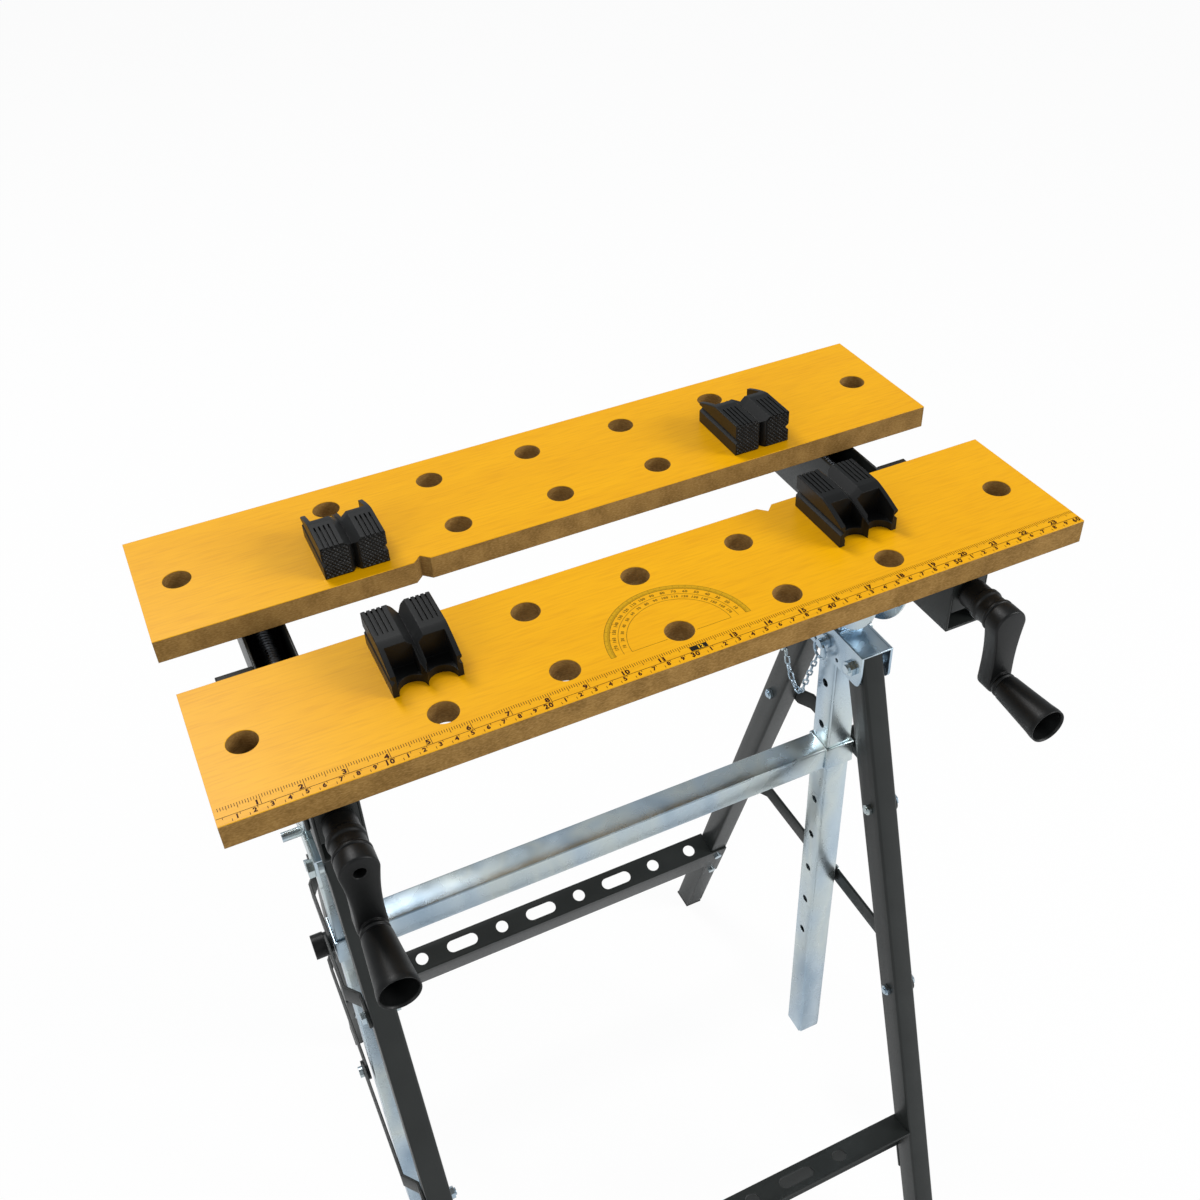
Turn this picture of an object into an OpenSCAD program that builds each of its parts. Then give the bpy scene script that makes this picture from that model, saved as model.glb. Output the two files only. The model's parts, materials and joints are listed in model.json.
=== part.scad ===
// Folding workbench with a split worktop, two vice screws and a height-adjustable frame.
// The origin is on the floor in the middle of the footprint. +X runs along the jaws,
// the cranks face -Y and +Z is up.

/* [Worktop] */
// Height of the working surface above the floor
work_h = 850; // [800:10:950]
// Length of each jaw board
board_l = 605; // [590:1:660]
// Depth of each jaw board
board_w = 120; // [116:1:130]
// Thickness of each jaw board
board_t = 18; // [15:1:22]
// Open width between the jaws
jaw_gap = 57.6; // [50:0.2:62]
// How far each board sits off the middle, in opposite directions
board_shift = 2.5; // [0:0.5:5]
// Diameter of the dog holes
dog_hole_d = 20; // [18:0.5:22]
// Distance between the dog holes along a row
dog_hole_pitch = 80; // [75:1:84]
// Distance of the outer row from the outer edge
outer_row = 28; // [22:1:32]
// Distance of the inner row from the outer edge
inner_row = 92; // [86:1:98]
// Distance of the end holes from the middle of the board
end_hole_x = 275; // [262:1:278]
// Width of the V notch in a jaw's gripping edge
notch_w = 12; // [8:1:16]
// Depth of the V notch
notch_depth = 6; // [3:0.5:10]
// Distance of the V notch from the middle of the board
notch_x = 117; // [105:1:125]

/* [Frame] */
// How far the frame stands off the middle of the worktop
frame_x = -7; // [-10:0.5:0]
// Distance of each post from the frame's middle
post_x = 228; // [215:1:235]
// Width of the square tubes of the posts and the crossbar
post_w = 25; // [22:1:28]
// Wall of the posts and the crossbar
post_wall = 1.5; // [1:0.25:2.5]
// Depth of the post's top below the working surface
post_drop = 78; // [76:1:80]
// Height of the lower end of a post above the floor
post_foot = 90; // [80:1:140]
// Depth of the lock pins and leg pivots below the working surface
head_drop = 185; // [180:1:195]
// Depth of the tilt pivot below the working surface
tilt_drop = 98; // [96:0.5:100]
// Distance between the height holes
height_step = 50; // [45:1:52]
// Number of height holes
height_count = 9; // [7:1:10]
// Diameter of the height holes
height_hole_d = 8; // [7.8:0.1:9]
// Depth of the crossbar's middle below the working surface
crossbar_drop = 318.5; // [310:0.5:330]
// Wall of the collars that slide on the posts
collar_wall = 1.7; // [1.2:0.1:2.2]
// Clearance of a collar or guide round a post
slide_gap = 0.3; // [0.3:0.05:0.5]

/* [Legs] */
// Width of a leg tube
leg_w = 20; // [18:1:20]
// Depth of a leg tube
leg_d = 25; // [22:1:26]
// Wall of a leg tube
leg_wall = 1.5; // [1:0.25:2.5]
// Distance of each leg's middle from the frame's middle
leg_offset = 2; // [1:0.1:2.5]
// Distance of the leg pivots in front of and behind the posts
leg_pivot_y = 38; // [36:0.5:39]
// Length of a leg above its pivot
leg_head = 13; // [10:0.5:13.5]
// Angle of the front legs from upright
front_splay = 17.4; // [15:0.1:19]
// Angle of the rear legs from upright
rear_splay = 19.2; // [16:0.1:20]
// Thickness of a foot under its leg
foot_t = 5; // [3:0.5:8]
// Length of a foot's plug inside the leg
foot_plug = 28; // [20:1:40]
// Diameter of the leg pivot bolts
pivot_bolt_d = 8; // [6:0.5:9]

/* [Apex bracket] */
// Thickness of the bracket's plates
bracket_t = 2.2; // [1.5:0.1:2.6]
// Length of the bracket from front to back
bracket_l = 100; // [96:1:104]
// Height of the bracket above the leg pivots
bracket_up = 18; // [17.5:0.5:20]
// Depth of the bracket below the leg pivots
bracket_down = 16; // [13:0.5:22]
// Radius of the bracket's lower corners
bracket_r = 8; // [4:0.5:12]

/* [Stays] */
// Width of a stay
stay_w = 18; // [15:1:20]
// Thickness of a stay
stay_t = 2.5; // [2:0.1:2.6]
// Diameter of the bolts of the stays
stay_bolt_d = 6; // [5:0.5:7]
// Depth of the lower stays below the working surface
lower_stay_drop = 508; // [480:1:520]
// Distance from a stay's bolt to the start of its bend
bend_start = 16; // [14:1:18]
// Length of the bent part of a stay
bend_l = 12; // [10:1:14]
// Diameter of the knob on the upper stays
knob_d = 20; // [16:1:24]

/* [Stretchers] */
// Height of a stretcher's top above the floor, at the middle of a leg
stretcher_top = 181.5; // [165:0.5:200]
// Height of a stretcher's upright side
stretcher_h = 39; // [34:1:42]
// Depth of a stretcher's top
stretcher_d = 28; // [24:1:30]
// Thickness of a stretcher's sheet
stretcher_t = 2; // [1.5:0.25:2.5]
// Distance between the two bolts at each end
stretcher_bolt_pitch = 44; // [42:1:48]
// Length of a slot in a stretcher
slot_l = 36; // [28:1:38]
// Width of the slots and diameter of the round holes in a stretcher
slot_w = 14; // [10:1:15]
// Distance between the holes of a stretcher
stretcher_pitch = 48; // [44:1:50]

/* [Rails and vice] */
// Width of a rail
rail_w = 30; // [28:1:31]
// Height of a rail
rail_h = 52; // [50:0.5:52.5]
// Wall of a rail
rail_wall = 2; // [1.5:0.25:2.25]
// Reach of a rail in front of the jaw gap's middle
rail_front = 139; // [130:1:142]
// Reach of a rail behind the jaw gap's middle
rail_back = 160; // [152:1:170]
// Diameter of a vice screw
screw_d = 12; // [10:0.5:13]
// Depth of a screw's axis below the worktop
screw_drop = 37; // [35:0.5:40]
// Radius of the saddles that the rails tilt on
saddle_r = 60; // [56:0.5:62]
// Thickness of a saddle's sheet
saddle_t = 2; // [1.5:0.1:2.2]
// Distance from the tilt pivot to the clamp bolt
clamp_r = 45; // [42:0.5:47]
// Tilt each way
tilt_limit = 30; // [20:1:32]
// Length of a vice nut
nut_l = 40; // [30:1:46]
// Distance of a vice nut behind the jaw gap's middle
nut_y = 62; // [61:1:70]

/* [Cranks] */
// Diameter of a crank's hub
hub_d = 25; // [22:0.5:27]
// Length of a crank's hub
hub_l = 45; // [42:1:50]
// Length of a crank's arm between the axes
arm_l = 50; // [44:1:56]
// Thickness of a crank's arm
arm_t = 13; // [10:0.5:15]
// Width of a crank's arm
arm_w = 17; // [15:0.5:19]
// Length of a crank's grip
grip_l = 48; // [40:1:54]
// Diameter of a grip at the arm
grip_d = 20; // [18:0.5:22]
// Diameter of a grip at its open end
grip_end_d = 27; // [25:0.5:29]

/* [Bench dogs] */
// Width of a bench dog
dog_w = 46; // [42:1:48]
// Distance of a dog's grip face in front of its peg
dog_front = 19.2; // [18:0.2:20]
// Length of a dog behind its peg
dog_back = 38.8; // [34:0.2:40]
// Height of a dog at its grip face
dog_h = 26; // [22:1:28]
// Height of a dog at its back
dog_back_h = 17; // [13:1:19]
// Wall of a dog's hollow back
dog_wall = 4; // [3:0.5:5]
// Length of a dog's peg in the board
peg_l = 15; // [12:1:17]

/* [Hidden] */
$fn = 48;

// Overrun of a cut past the face it opens
over = 1;
// Radial play of a shaft in its bore
play = 0.1;
// Gap that parts which move past each other keep
gap = 0.3;

// Heights of the main levels above the floor
head_h = work_h - head_drop;
tilt_h = work_h - tilt_drop;
board_base = work_h - board_t;
rail_top = board_base - gap;
rail_base = work_h - board_t - rail_h;
screw_h = work_h - screw_drop;
crossbar_h = work_h - crossbar_drop;
lower_stay_h = work_h - lower_stay_drop;

// Reach of the feet, which puts the frame where the footprint is centred
front_reach = leg_pivot_y + head_h * tan(front_splay) + leg_d / 2 / cos(front_splay);
rear_reach = leg_pivot_y + head_h * tan(rear_splay) + leg_d / 2 / cos(rear_splay);
frame_y = (front_reach - rear_reach) / 2;

// Faces of the frame, measured from its middle
post_in = post_x - post_w / 2;
post_out = post_x + post_w / 2;
plate_in = post_in - slide_gap;
plate_out = post_out + slide_gap;
leg_x = post_x - leg_offset;
leg_in = leg_x - leg_w / 2;
leg_out = leg_x + leg_w / 2;
rail_in = post_x - rail_w / 2;
rail_out = post_x + rail_w / 2;
collar_out = plate_out + collar_wall;

// Planes of the stays: beside the legs, then the rear and the front stays at the posts
stay_leg_x = leg_out + gap;
stay_rear_x = plate_out + bracket_t;
stay_front_x = stay_rear_x + stay_t + gap;

// Bolts: heads, nuts and their play
hex_share = 1.7;
head_share = 0.6;
hex_d = pivot_bolt_d * hex_share;
hex_t = pivot_bolt_d * head_share;
stay_hex_d = stay_bolt_d * hex_share;
stay_hex_t = stay_bolt_d * head_share;
stretcher_bolt_d = 5;
stretcher_bolt_drop = stretcher_bolt_d * 2.8;
ear_h = stretcher_bolt_pitch + stretcher_bolt_d * 4.8;

// Lock pin: shaft, shoulder and ring
pin_play = 0.5;
pin_d = height_hole_d - pin_play;
pin_tip = 16;
pin_tail = 8;
pin_shoulder_d = 13;
pin_shoulder_t = 2.4;
ring_r = 8;
ring_wire = 2.4;
ring_x = plate_in - bracket_t - pin_shoulder_t - pin_tail / 2;

// Chain between a lock pin and its rear leg, as distances behind and below the pin
chain_d = 3.2;
chain_knuckle = 0.2;
chain_x = ring_x + ring_wire / 4;
chain_route = [
    [4, 2 * ring_r + ring_wire / 2 + chain_d / 2 + gap],
    [13, 46],
    [26, 79],
    [44, 67],
    [52, 47]
];
chain_screw_d = 4;
chain_screw_y = chain_route[4][0];
chain_screw_down = chain_route[4][1] - chain_screw_d / 2 - chain_d / 2 - chain_knuckle - gap;

// Jaw bracket and its screws
jaw_bracket_t = 3;
jaw_bracket_w = 25;
jaw_bracket_h = 40;
jaw_bracket_start = 2;
jaw_bracket_l = 118;
jaw_screw_d = 5;
jaw_screw_l = 14;
jaw_screw_shares = [0.3, 0.85];

// Screw bearings
rail_plate_t = 2.5;
rail_plate_h = 32;
bush_wall = 4;
bush_d = screw_d + 2 * bush_wall;
bush_l = 10;
rear_plate_inset = 10;
rear_plate_y = rail_back - rear_plate_inset;

// Grip and its spindle
spindle_d = 10;
grip_gap = 2;
grip_floor = 8;
grip_mouth_d = 20;

// Dog: grooves and pockets
dog_v = 6;
groove_depth = 2;
peg_d = dog_hole_d - 2 * play;
prong_r = 13;

stay_ends = [
    leg_pivot_y + (head_h - crossbar_h) * tan(front_splay),
    leg_pivot_y + (head_h - crossbar_h) * tan(rear_splay),
    leg_pivot_y + (head_h - lower_stay_h) * tan(front_splay),
    leg_pivot_y + (head_h - lower_stay_h) * tan(rear_splay)
];

// Places its children on one side of the frame, -1 for left and 1 for right
module on_side(side) {
    translate([frame_x, frame_y, 0])
        mirror([side < 0 ? 1 : 0, 0, 0])
            children();
}

// Both sides at once
module both_sides() {
    on_side(-1) children();
    on_side(1) children();
}

// Space of a leg: its pivot at the origin, the leg hanging down, -Y towards the posts
module leg_space(rear) {
    mirror([0, rear ? 0 : 1, 0])
        translate([0, leg_pivot_y, head_h])
            rotate([rear ? rear_splay : front_splay, 0, 0])
                children();
}

// Rod along X from one x to another
module x_rod(d, from, to, y, z) {
    translate([from, y, z])
        rotate([0, 90, 0])
            cylinder(d = d, h = to - from);
}

// Rod along Y from one y to another
module y_rod(d, from, to, x, z) {
    translate([x, from, z])
        rotate([-90, 0, 0])
            cylinder(d = d, h = to - from);
}

// Box by its corners
module block(low, high) {
    translate(low)
        cube(high - low);
}

// Jaw board lying on its base, its gripping edge towards +Y
module board() {
    outer_y = -jaw_gap / 2 - board_w;
    difference() {
        block([-board_l / 2, outer_y, board_base], [board_l / 2, -jaw_gap / 2, work_h]);
        for (row = [outer_row, inner_row], i = [-2:2])
            translate([i * dog_hole_pitch, outer_y + row, board_base - over])
                cylinder(d = dog_hole_d, h = board_t + 2 * over);
        for (i = [-1, 1])
            translate([i * end_hole_x, outer_y + board_w / 2, board_base - over])
                cylinder(d = dog_hole_d, h = board_t + 2 * over);
        translate([notch_x, -jaw_gap / 2, board_base - over])
            linear_extrude(height = board_t + 2 * over)
                polygon([[-notch_w / 2, 0], [0, -notch_depth], [notch_w / 2, 0], [0, over]]);
    }
}

module front_jaw() {
    color("goldenrod")
        difference() {
            translate([board_shift, frame_y, 0]) board();
            jaw_screw_holes();
        }
}

module rear_jaw() {
    color("goldenrod")
        translate([-board_shift, frame_y, 0])
            rotate([0, 0, 180])
                board();
}

// Places of the screws that hold the front board
module at_jaw_screws() {
    both_sides()
        for (share = jaw_screw_shares)
            translate([rail_out + jaw_bracket_t + (jaw_bracket_w - jaw_bracket_t) / 2,
                       -jaw_bracket_start - jaw_bracket_l * share, rail_top])
                children();
}

module jaw_screw_holes() {
    at_jaw_screws()
        translate([0, 0, -jaw_bracket_t - over])
            cylinder(d = jaw_screw_d + play, h = jaw_bracket_t + over + jaw_screw_l);
}

module jaw_screws() {
    color("silver")
        at_jaw_screws() {
            translate([0, 0, -jaw_bracket_t])
                cylinder(d = jaw_screw_d, h = jaw_bracket_t + jaw_screw_l);
            translate([0, 0, -jaw_bracket_t - jaw_screw_d / 2])
                cylinder(d = 2 * jaw_screw_d, h = jaw_screw_d / 2);
        }
}

module jaw_bracket(side) {
    color("dimgray")
        difference() {
            on_side(side) {
                block([rail_out, -jaw_bracket_start - jaw_bracket_l, rail_top - jaw_bracket_h],
                      [rail_out + jaw_bracket_t, -jaw_bracket_start, rail_top]);
                block([rail_out, -jaw_bracket_start - jaw_bracket_l, rail_top - jaw_bracket_t],
                      [rail_out + jaw_bracket_w, -jaw_bracket_start, rail_top]);
            }
            jaw_screw_holes();
        }
}

module rail(side) {
    color("dimgray")
        on_side(side)
            difference() {
                block([rail_in, -rail_front, rail_base], [rail_out, rail_back, rail_top]);
                block([rail_in + rail_wall, -rail_front - over, rail_base + rail_wall],
                      [rail_out - rail_wall, rail_back + over, rail_top + over]);
            }
}

// Plate across a rail with a bored bush for the screw
module bearing_plate(side, y) {
    color("gray")
        on_side(side)
            difference() {
                union() {
                    block([rail_in + rail_wall, y, screw_h - rail_plate_h / 2],
                          [rail_out - rail_wall, y + rail_plate_t, screw_h + rail_plate_h / 2 - gap]);
                    y_rod(bush_d, y, y + bush_l, post_x, screw_h);
                }
                y_rod(screw_d + 2 * play, y - over, y + bush_l + over, post_x, screw_h);
            }
}

// Zinc saddle: two half-round cheeks with an arc slot, joined by a web under the rail
module saddle(side) {
    web_top = rail_base - tilt_h;
    slot_d = pivot_bolt_d + 2 * gap;
    color("silver")
        on_side(side)
            translate([0, 0, tilt_h])
                difference() {
                    intersection() {
                        x_rod(2 * saddle_r, rail_in, rail_out, 0, 0);
                        block([rail_in - over, -saddle_r, -saddle_r - over],
                              [rail_out + over, saddle_r, web_top]);
                    }
                    block([rail_in + saddle_t, -saddle_r - over, -saddle_r - over],
                          [rail_out - saddle_t, saddle_r + over, web_top - saddle_t]);
                    x_rod(pivot_bolt_d + 2 * play, rail_in - over, rail_out + over, 0, 0);
                    rotate([0, 90, 0])
                        rotate([0, 0, -tilt_limit])
                            translate([0, 0, rail_in - over])
                                rotate_extrude(angle = 2 * tilt_limit)
                                    translate([clamp_r - slot_d / 2, 0])
                                        square([slot_d, rail_w + 2 * over]);
                    for (turn = [-tilt_limit, tilt_limit])
                        rotate([turn, 0, 0])
                            x_rod(slot_d, rail_in - over, rail_out + over, 0, -clamp_r);
                }
}

module vice_nut(side) {
    color("gray")
        on_side(side)
            difference() {
                block([rail_in + rail_wall + gap, nut_y, rail_base + rail_wall + gap],
                      [rail_out - rail_wall - gap, nut_y + nut_l, board_base]);
                y_rod(screw_d + 2 * play, nut_y - over, nut_y + nut_l + over, post_x, screw_h);
            }
}

module vice_screw(side) {
    color("slategray")
        on_side(side)
            y_rod(screw_d, -rail_front - hub_l * 0.7, rear_plate_y + bush_l + 2 * play,
                  post_x, screw_h);
}

module crank(side) {
    hub_end = -rail_front - gap - hub_l;
    color("black")
        on_side(side)
            difference() {
                union() {
                    y_rod(hub_d, hub_end, -rail_front - gap, post_x, screw_h);
                    block([post_x - arm_w / 2, hub_end, screw_h - arm_l],
                          [post_x + arm_w / 2, hub_end + arm_t, screw_h]);
                    y_rod(grip_d, hub_end, hub_end + arm_t, post_x, screw_h - arm_l);
                    y_rod(spindle_d, hub_end - grip_l + grip_floor, hub_end + arm_t / 2,
                          post_x, screw_h - arm_l);
                }
                y_rod(screw_d + play, -rail_front - hub_l * 0.7, -rail_front + over, post_x, screw_h);
            }
}

module crank_grip(side) {
    from = -rail_front - gap - hub_l - grip_gap;
    color("black")
        on_side(side)
            difference() {
                translate([post_x, from - grip_l, screw_h - arm_l])
                    rotate([-90, 0, 0])
                        cylinder(d1 = grip_end_d, d2 = grip_d, h = grip_l);
                y_rod(spindle_d + 2 * play, from - grip_l - over, from + over, post_x, screw_h - arm_l);
                y_rod(grip_mouth_d, from - grip_l - over, from - grip_l + grip_floor,
                      post_x, screw_h - arm_l);
            }
}

// Bench dog round its peg's axis, its grip face towards +Y
module dog() {
    base = gap;
    difference() {
        union() {
            translate([-dog_w / 2, 0, 0])
                rotate([90, 0, 90])
                    linear_extrude(height = dog_w)
                        polygon([
                            [dog_front, base],
                            [dog_front, dog_h / 2 - groove_depth],
                            [dog_front - groove_depth, dog_h / 2],
                            [dog_front, dog_h / 2 + groove_depth],
                            [dog_front, dog_h],
                            [-dog_back / 3, dog_h],
                            [-dog_back, dog_back_h],
                            [-dog_back, base]
                        ]);
            translate([0, 0, -peg_l])
                cylinder(d = peg_d, h = peg_l + 2 * base);
        }
        // Upright V groove in the grip face, and the one along the top
        translate([0, dog_front, base - over])
            linear_extrude(height = dog_h + 2 * over)
                polygon([[-dog_v, over], [-dog_v, 0], [0, -dog_v], [dog_v, 0], [dog_v, over]]);
        translate([0, dog_front + over, dog_h])
            rotate([90, 0, 0])
                linear_extrude(height = dog_front + dog_back + 2 * over)
                    polygon([[-dog_v, over], [-dog_v, 0], [0, -dog_v], [dog_v, 0], [dog_v, over]]);
        // Pockets of the hollow back
        for (hand = [-1, 1])
            block([hand < 0 ? -dog_w / 2 + dog_wall : dog_wall / 2,
                   -dog_back * 0.85, base + dog_wall],
                  [hand < 0 ? -dog_wall / 2 : dog_w / 2 - dog_wall,
                   -dog_back * 0.4, dog_h + over]);
        for (hand = [-1, 1])
            translate([hand * dog_w / 4, -dog_back - prong_r / 2, base - over])
                cylinder(r = prong_r * 0.72, h = dog_h + 2 * over);
    }
}

// A dog in the inner row of a board; front or rear, left or right
module bench_dog(rear, side) {
    peg_y = jaw_gap / 2 + board_w - inner_row;
    color("black")
        translate([(rear ? -1 : 1) * board_shift + side * 2 * dog_hole_pitch,
                   frame_y + (rear ? peg_y : -peg_y), work_h])
            rotate([0, 0, rear ? 180 : 0])
                dog();
}

module post(side) {
    top = work_h - post_drop;
    color("lightsteelblue")
        on_side(side)
            difference() {
                block([post_in, -post_w / 2, post_foot], [post_out, post_w / 2, top]);
                block([post_in + post_wall, -post_w / 2 + post_wall, post_foot - over],
                      [post_out - post_wall, post_w / 2 - post_wall, top + over]);
                for (i = [0:height_count - 1])
                    x_rod(height_hole_d, post_in - over, post_out + over, 0, head_h - i * height_step);
                for (z = [tilt_h, tilt_h - clamp_r])
                    x_rod(pivot_bolt_d + play, post_in - over, post_out + over, 0, z);
            }
}

// Hexagon bolt along X with its nut, through everything between two faces
module hex_bolt(d, from, to, y, z) {
    x_rod(d, from - d * head_share - d / 4, to + over, y, z);
    translate([from - d * head_share, y, z])
        rotate([0, 90, 0])
            cylinder(d = d * hex_share, h = d * head_share - play, $fn = 6);
    translate([to + play, y, z])
        rotate([0, 90, 0])
            cylinder(d = d * hex_share, h = d * head_share, $fn = 6);
}

module tilt_bolts(z) {
    color("silver")
        both_sides()
            hex_bolt(pivot_bolt_d, rail_in - gap, rail_out + gap, 0, z);
}

// Bracket that carries the leg pivots and guides the post between two webs
module apex_bracket(side) {
    web_y = post_w / 2 + slide_gap;
    outer = plate_out + bracket_t;
    inner = plate_in - bracket_t;
    top = head_h + bracket_up;
    base = head_h - bracket_down;
    color("lightsteelblue")
        on_side(side)
            difference() {
                union() {
                    for (x = [inner, plate_out])
                        translate([x, 0, 0])
                            rotate([90, 0, 90])
                                linear_extrude(height = bracket_t) {
                                    translate([-bracket_l / 2, base + bracket_r])
                                        square([bracket_l, top - base - bracket_r]);
                                    translate([-bracket_l / 2 + bracket_r, base])
                                        square([bracket_l - 2 * bracket_r, bracket_r]);
                                    for (hand = [-1, 1])
                                        translate([hand * (bracket_l / 2 - bracket_r), base + bracket_r])
                                            circle(r = bracket_r);
                                }
                    for (hand = [-1, 1])
                        block([inner, hand < 0 ? -web_y - bracket_t : web_y, base],
                              [outer, hand < 0 ? -web_y : web_y + bracket_t, top]);
                    for (hand = [-1, 1])
                        block([inner, hand < 0 ? -bracket_l / 2 : bracket_l / 2 - bracket_t, top - slide_gap * 4],
                              [outer, hand < 0 ? -bracket_l / 2 + bracket_t : bracket_l / 2, top]);
                }
                for (hand = [-1, 1])
                    x_rod(pivot_bolt_d + play, inner - over, outer + over, hand * leg_pivot_y, head_h);
                x_rod(height_hole_d, inner - over, outer + over, 0, head_h);
                for (hand = [-1, 1])
                    x_rod(pivot_bolt_d / 2, inner - over, outer + over,
                          hand * (web_y + bracket_t * 1.6), head_h - bracket_down * 0.6);
            }
}

module leg_pivot_bolts() {
    color("silver")
        both_sides()
            for (hand = [-1, 1])
                hex_bolt(pivot_bolt_d, plate_in - bracket_t - play, plate_out + bracket_t,
                         hand * leg_pivot_y, head_h);
}

// Tube washers between each leg and the outer plate
module leg_spacers() {
    color("silver")
        both_sides()
            for (hand = [-1, 1])
                difference() {
                    x_rod(pivot_bolt_d * hex_share, leg_out + gap, plate_out - play,
                          hand * leg_pivot_y, head_h);
                    x_rod(pivot_bolt_d + play, leg_in, plate_out + over, hand * leg_pivot_y, head_h);
                }
}

module lock_pin(side) {
    shoulder_x = plate_in - bracket_t - gap;
    color("silver")
        on_side(side) {
            x_rod(pin_d, shoulder_x - pin_tail, plate_out + pin_tip, 0, head_h);
            x_rod(pin_shoulder_d, shoulder_x - pin_shoulder_t, shoulder_x, 0, head_h);
            translate([ring_x, 0, head_h - ring_r])
                rotate([0, 90, 0])
                    rotate_extrude()
                        translate([ring_r, 0])
                            circle(d = ring_wire);
        }
}

module chain(side) {
    color("gray")
        on_side(side)
            translate([chain_x, 0, head_h]) {
                for (p = chain_route)
                    translate([0, p[0], -p[1]])
                        sphere(d = chain_d + 2 * chain_knuckle, $fn = 16);
                for (i = [1:len(chain_route) - 1]) {
                    a = chain_route[i - 1];
                    b = chain_route[i];
                    run = b[0] - a[0];
                    fall = b[1] - a[1];
                    translate([0, a[0], -a[1]])
                        rotate([90 + atan2(run, fall) + 90, 0, 0])
                            cylinder(d = chain_d, h = norm([run, fall]), $fn = 16);
                }
            }
}

// Screws in the rear legs that hold the chains
module chain_screws() {
    color("silver")
        both_sides() {
            x_rod(chain_screw_d, chain_x - chain_d, leg_in + leg_wall, chain_screw_y,
                  head_h - chain_screw_down);
            x_rod(2 * chain_screw_d, chain_x - chain_d - chain_screw_d / 2, chain_x - chain_d,
                  chain_screw_y, head_h - chain_screw_down);
        }
}

module crossbar() {
    half = plate_in - collar_wall;
    color("lightsteelblue")
        translate([frame_x, frame_y, crossbar_h])
            difference() {
                block([-half, -post_w / 2, -post_w / 2], [half, post_w / 2, post_w / 2]);
                block([-half - over, -post_w / 2 + post_wall, -post_w / 2 + post_wall],
                      [half + over, post_w / 2 - post_wall, post_w / 2 - post_wall]);
            }
}

module collar(side) {
    inner_y = post_w / 2 + slide_gap;
    color("lightsteelblue")
        on_side(side)
            translate([0, 0, crossbar_h])
                difference() {
                    block([plate_in - collar_wall, -inner_y - collar_wall, -post_w / 2],
                          [collar_out, inner_y + collar_wall, post_w / 2]);
                    block([plate_in, -inner_y, -post_w / 2 - over],
                          [plate_out, inner_y, post_w / 2 + over]);
                }
}

// Length of a leg from its pivot to below the floor
function leg_reach(rear) = head_h / cos(rear ? rear_splay : front_splay) + leg_d;

// Distance along a leg from its pivot down to a level
function leg_down(rear, h) = (head_h - h) / cos(rear ? rear_splay : front_splay);

module below_floor(h) {
    block([-rail_out, -work_h, h - work_h], [rail_out, work_h, h]);
}

module leg(rear, side) {
    color("dimgray")
        on_side(side)
            difference() {
                leg_space(rear)
                    difference() {
                        block([leg_in, -leg_d / 2, -leg_reach(rear)], [leg_out, leg_d / 2, leg_head]);
                        block([leg_in + leg_wall, -leg_d / 2 + leg_wall, -leg_reach(rear) - over],
                              [leg_out - leg_wall, leg_d / 2 - leg_wall, leg_head + over]);
                        x_rod(pivot_bolt_d + 2 * play, leg_in - over, leg_out + over, 0, 0);
                        for (h = [crossbar_h, lower_stay_h])
                            x_rod(stay_bolt_d + play, leg_in - over, leg_out + over,
                                  0, -leg_down(rear, h));
                        for (i = [0, 1])
                            y_rod(stretcher_bolt_d + play, -leg_d / 2 - over, 0, leg_x,
                                  -leg_down(rear, stretcher_top) - stretcher_bolt_drop
                                  - i * stretcher_bolt_pitch);
                    }
                if (rear)
                    x_rod(chain_screw_d + play, leg_in - over, leg_x, chain_screw_y,
                          head_h - chain_screw_down);
                below_floor(foot_t);
            }
}

// Plastic feet: a sole under each leg and a plug inside it
module feet(rear) {
    inset = leg_wall + play;
    color("black")
        both_sides()
            difference() {
                leg_space(rear)
                    block([leg_in, -leg_d / 2, -leg_reach(rear)],
                          [leg_out, leg_d / 2, -leg_down(rear, foot_t + foot_plug)]);
                leg_space(rear)
                    difference() {
                        block([leg_in - over, -leg_d, -leg_reach(rear)], [leg_out + over, leg_d, 0]);
                        block([leg_in + inset, -leg_d / 2 + inset, -leg_reach(rear) - over],
                              [leg_out - inset, leg_d / 2 - inset, over]);
                        mirror([0, 0, 1])
                            rotate([rear ? rear_splay : front_splay, 0, 0])
                                block([leg_in - over, -work_h, head_h - foot_t],
                                      [leg_out + over, work_h, head_h + work_h]);
                    }
                below_floor(0);
            }
}

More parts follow.
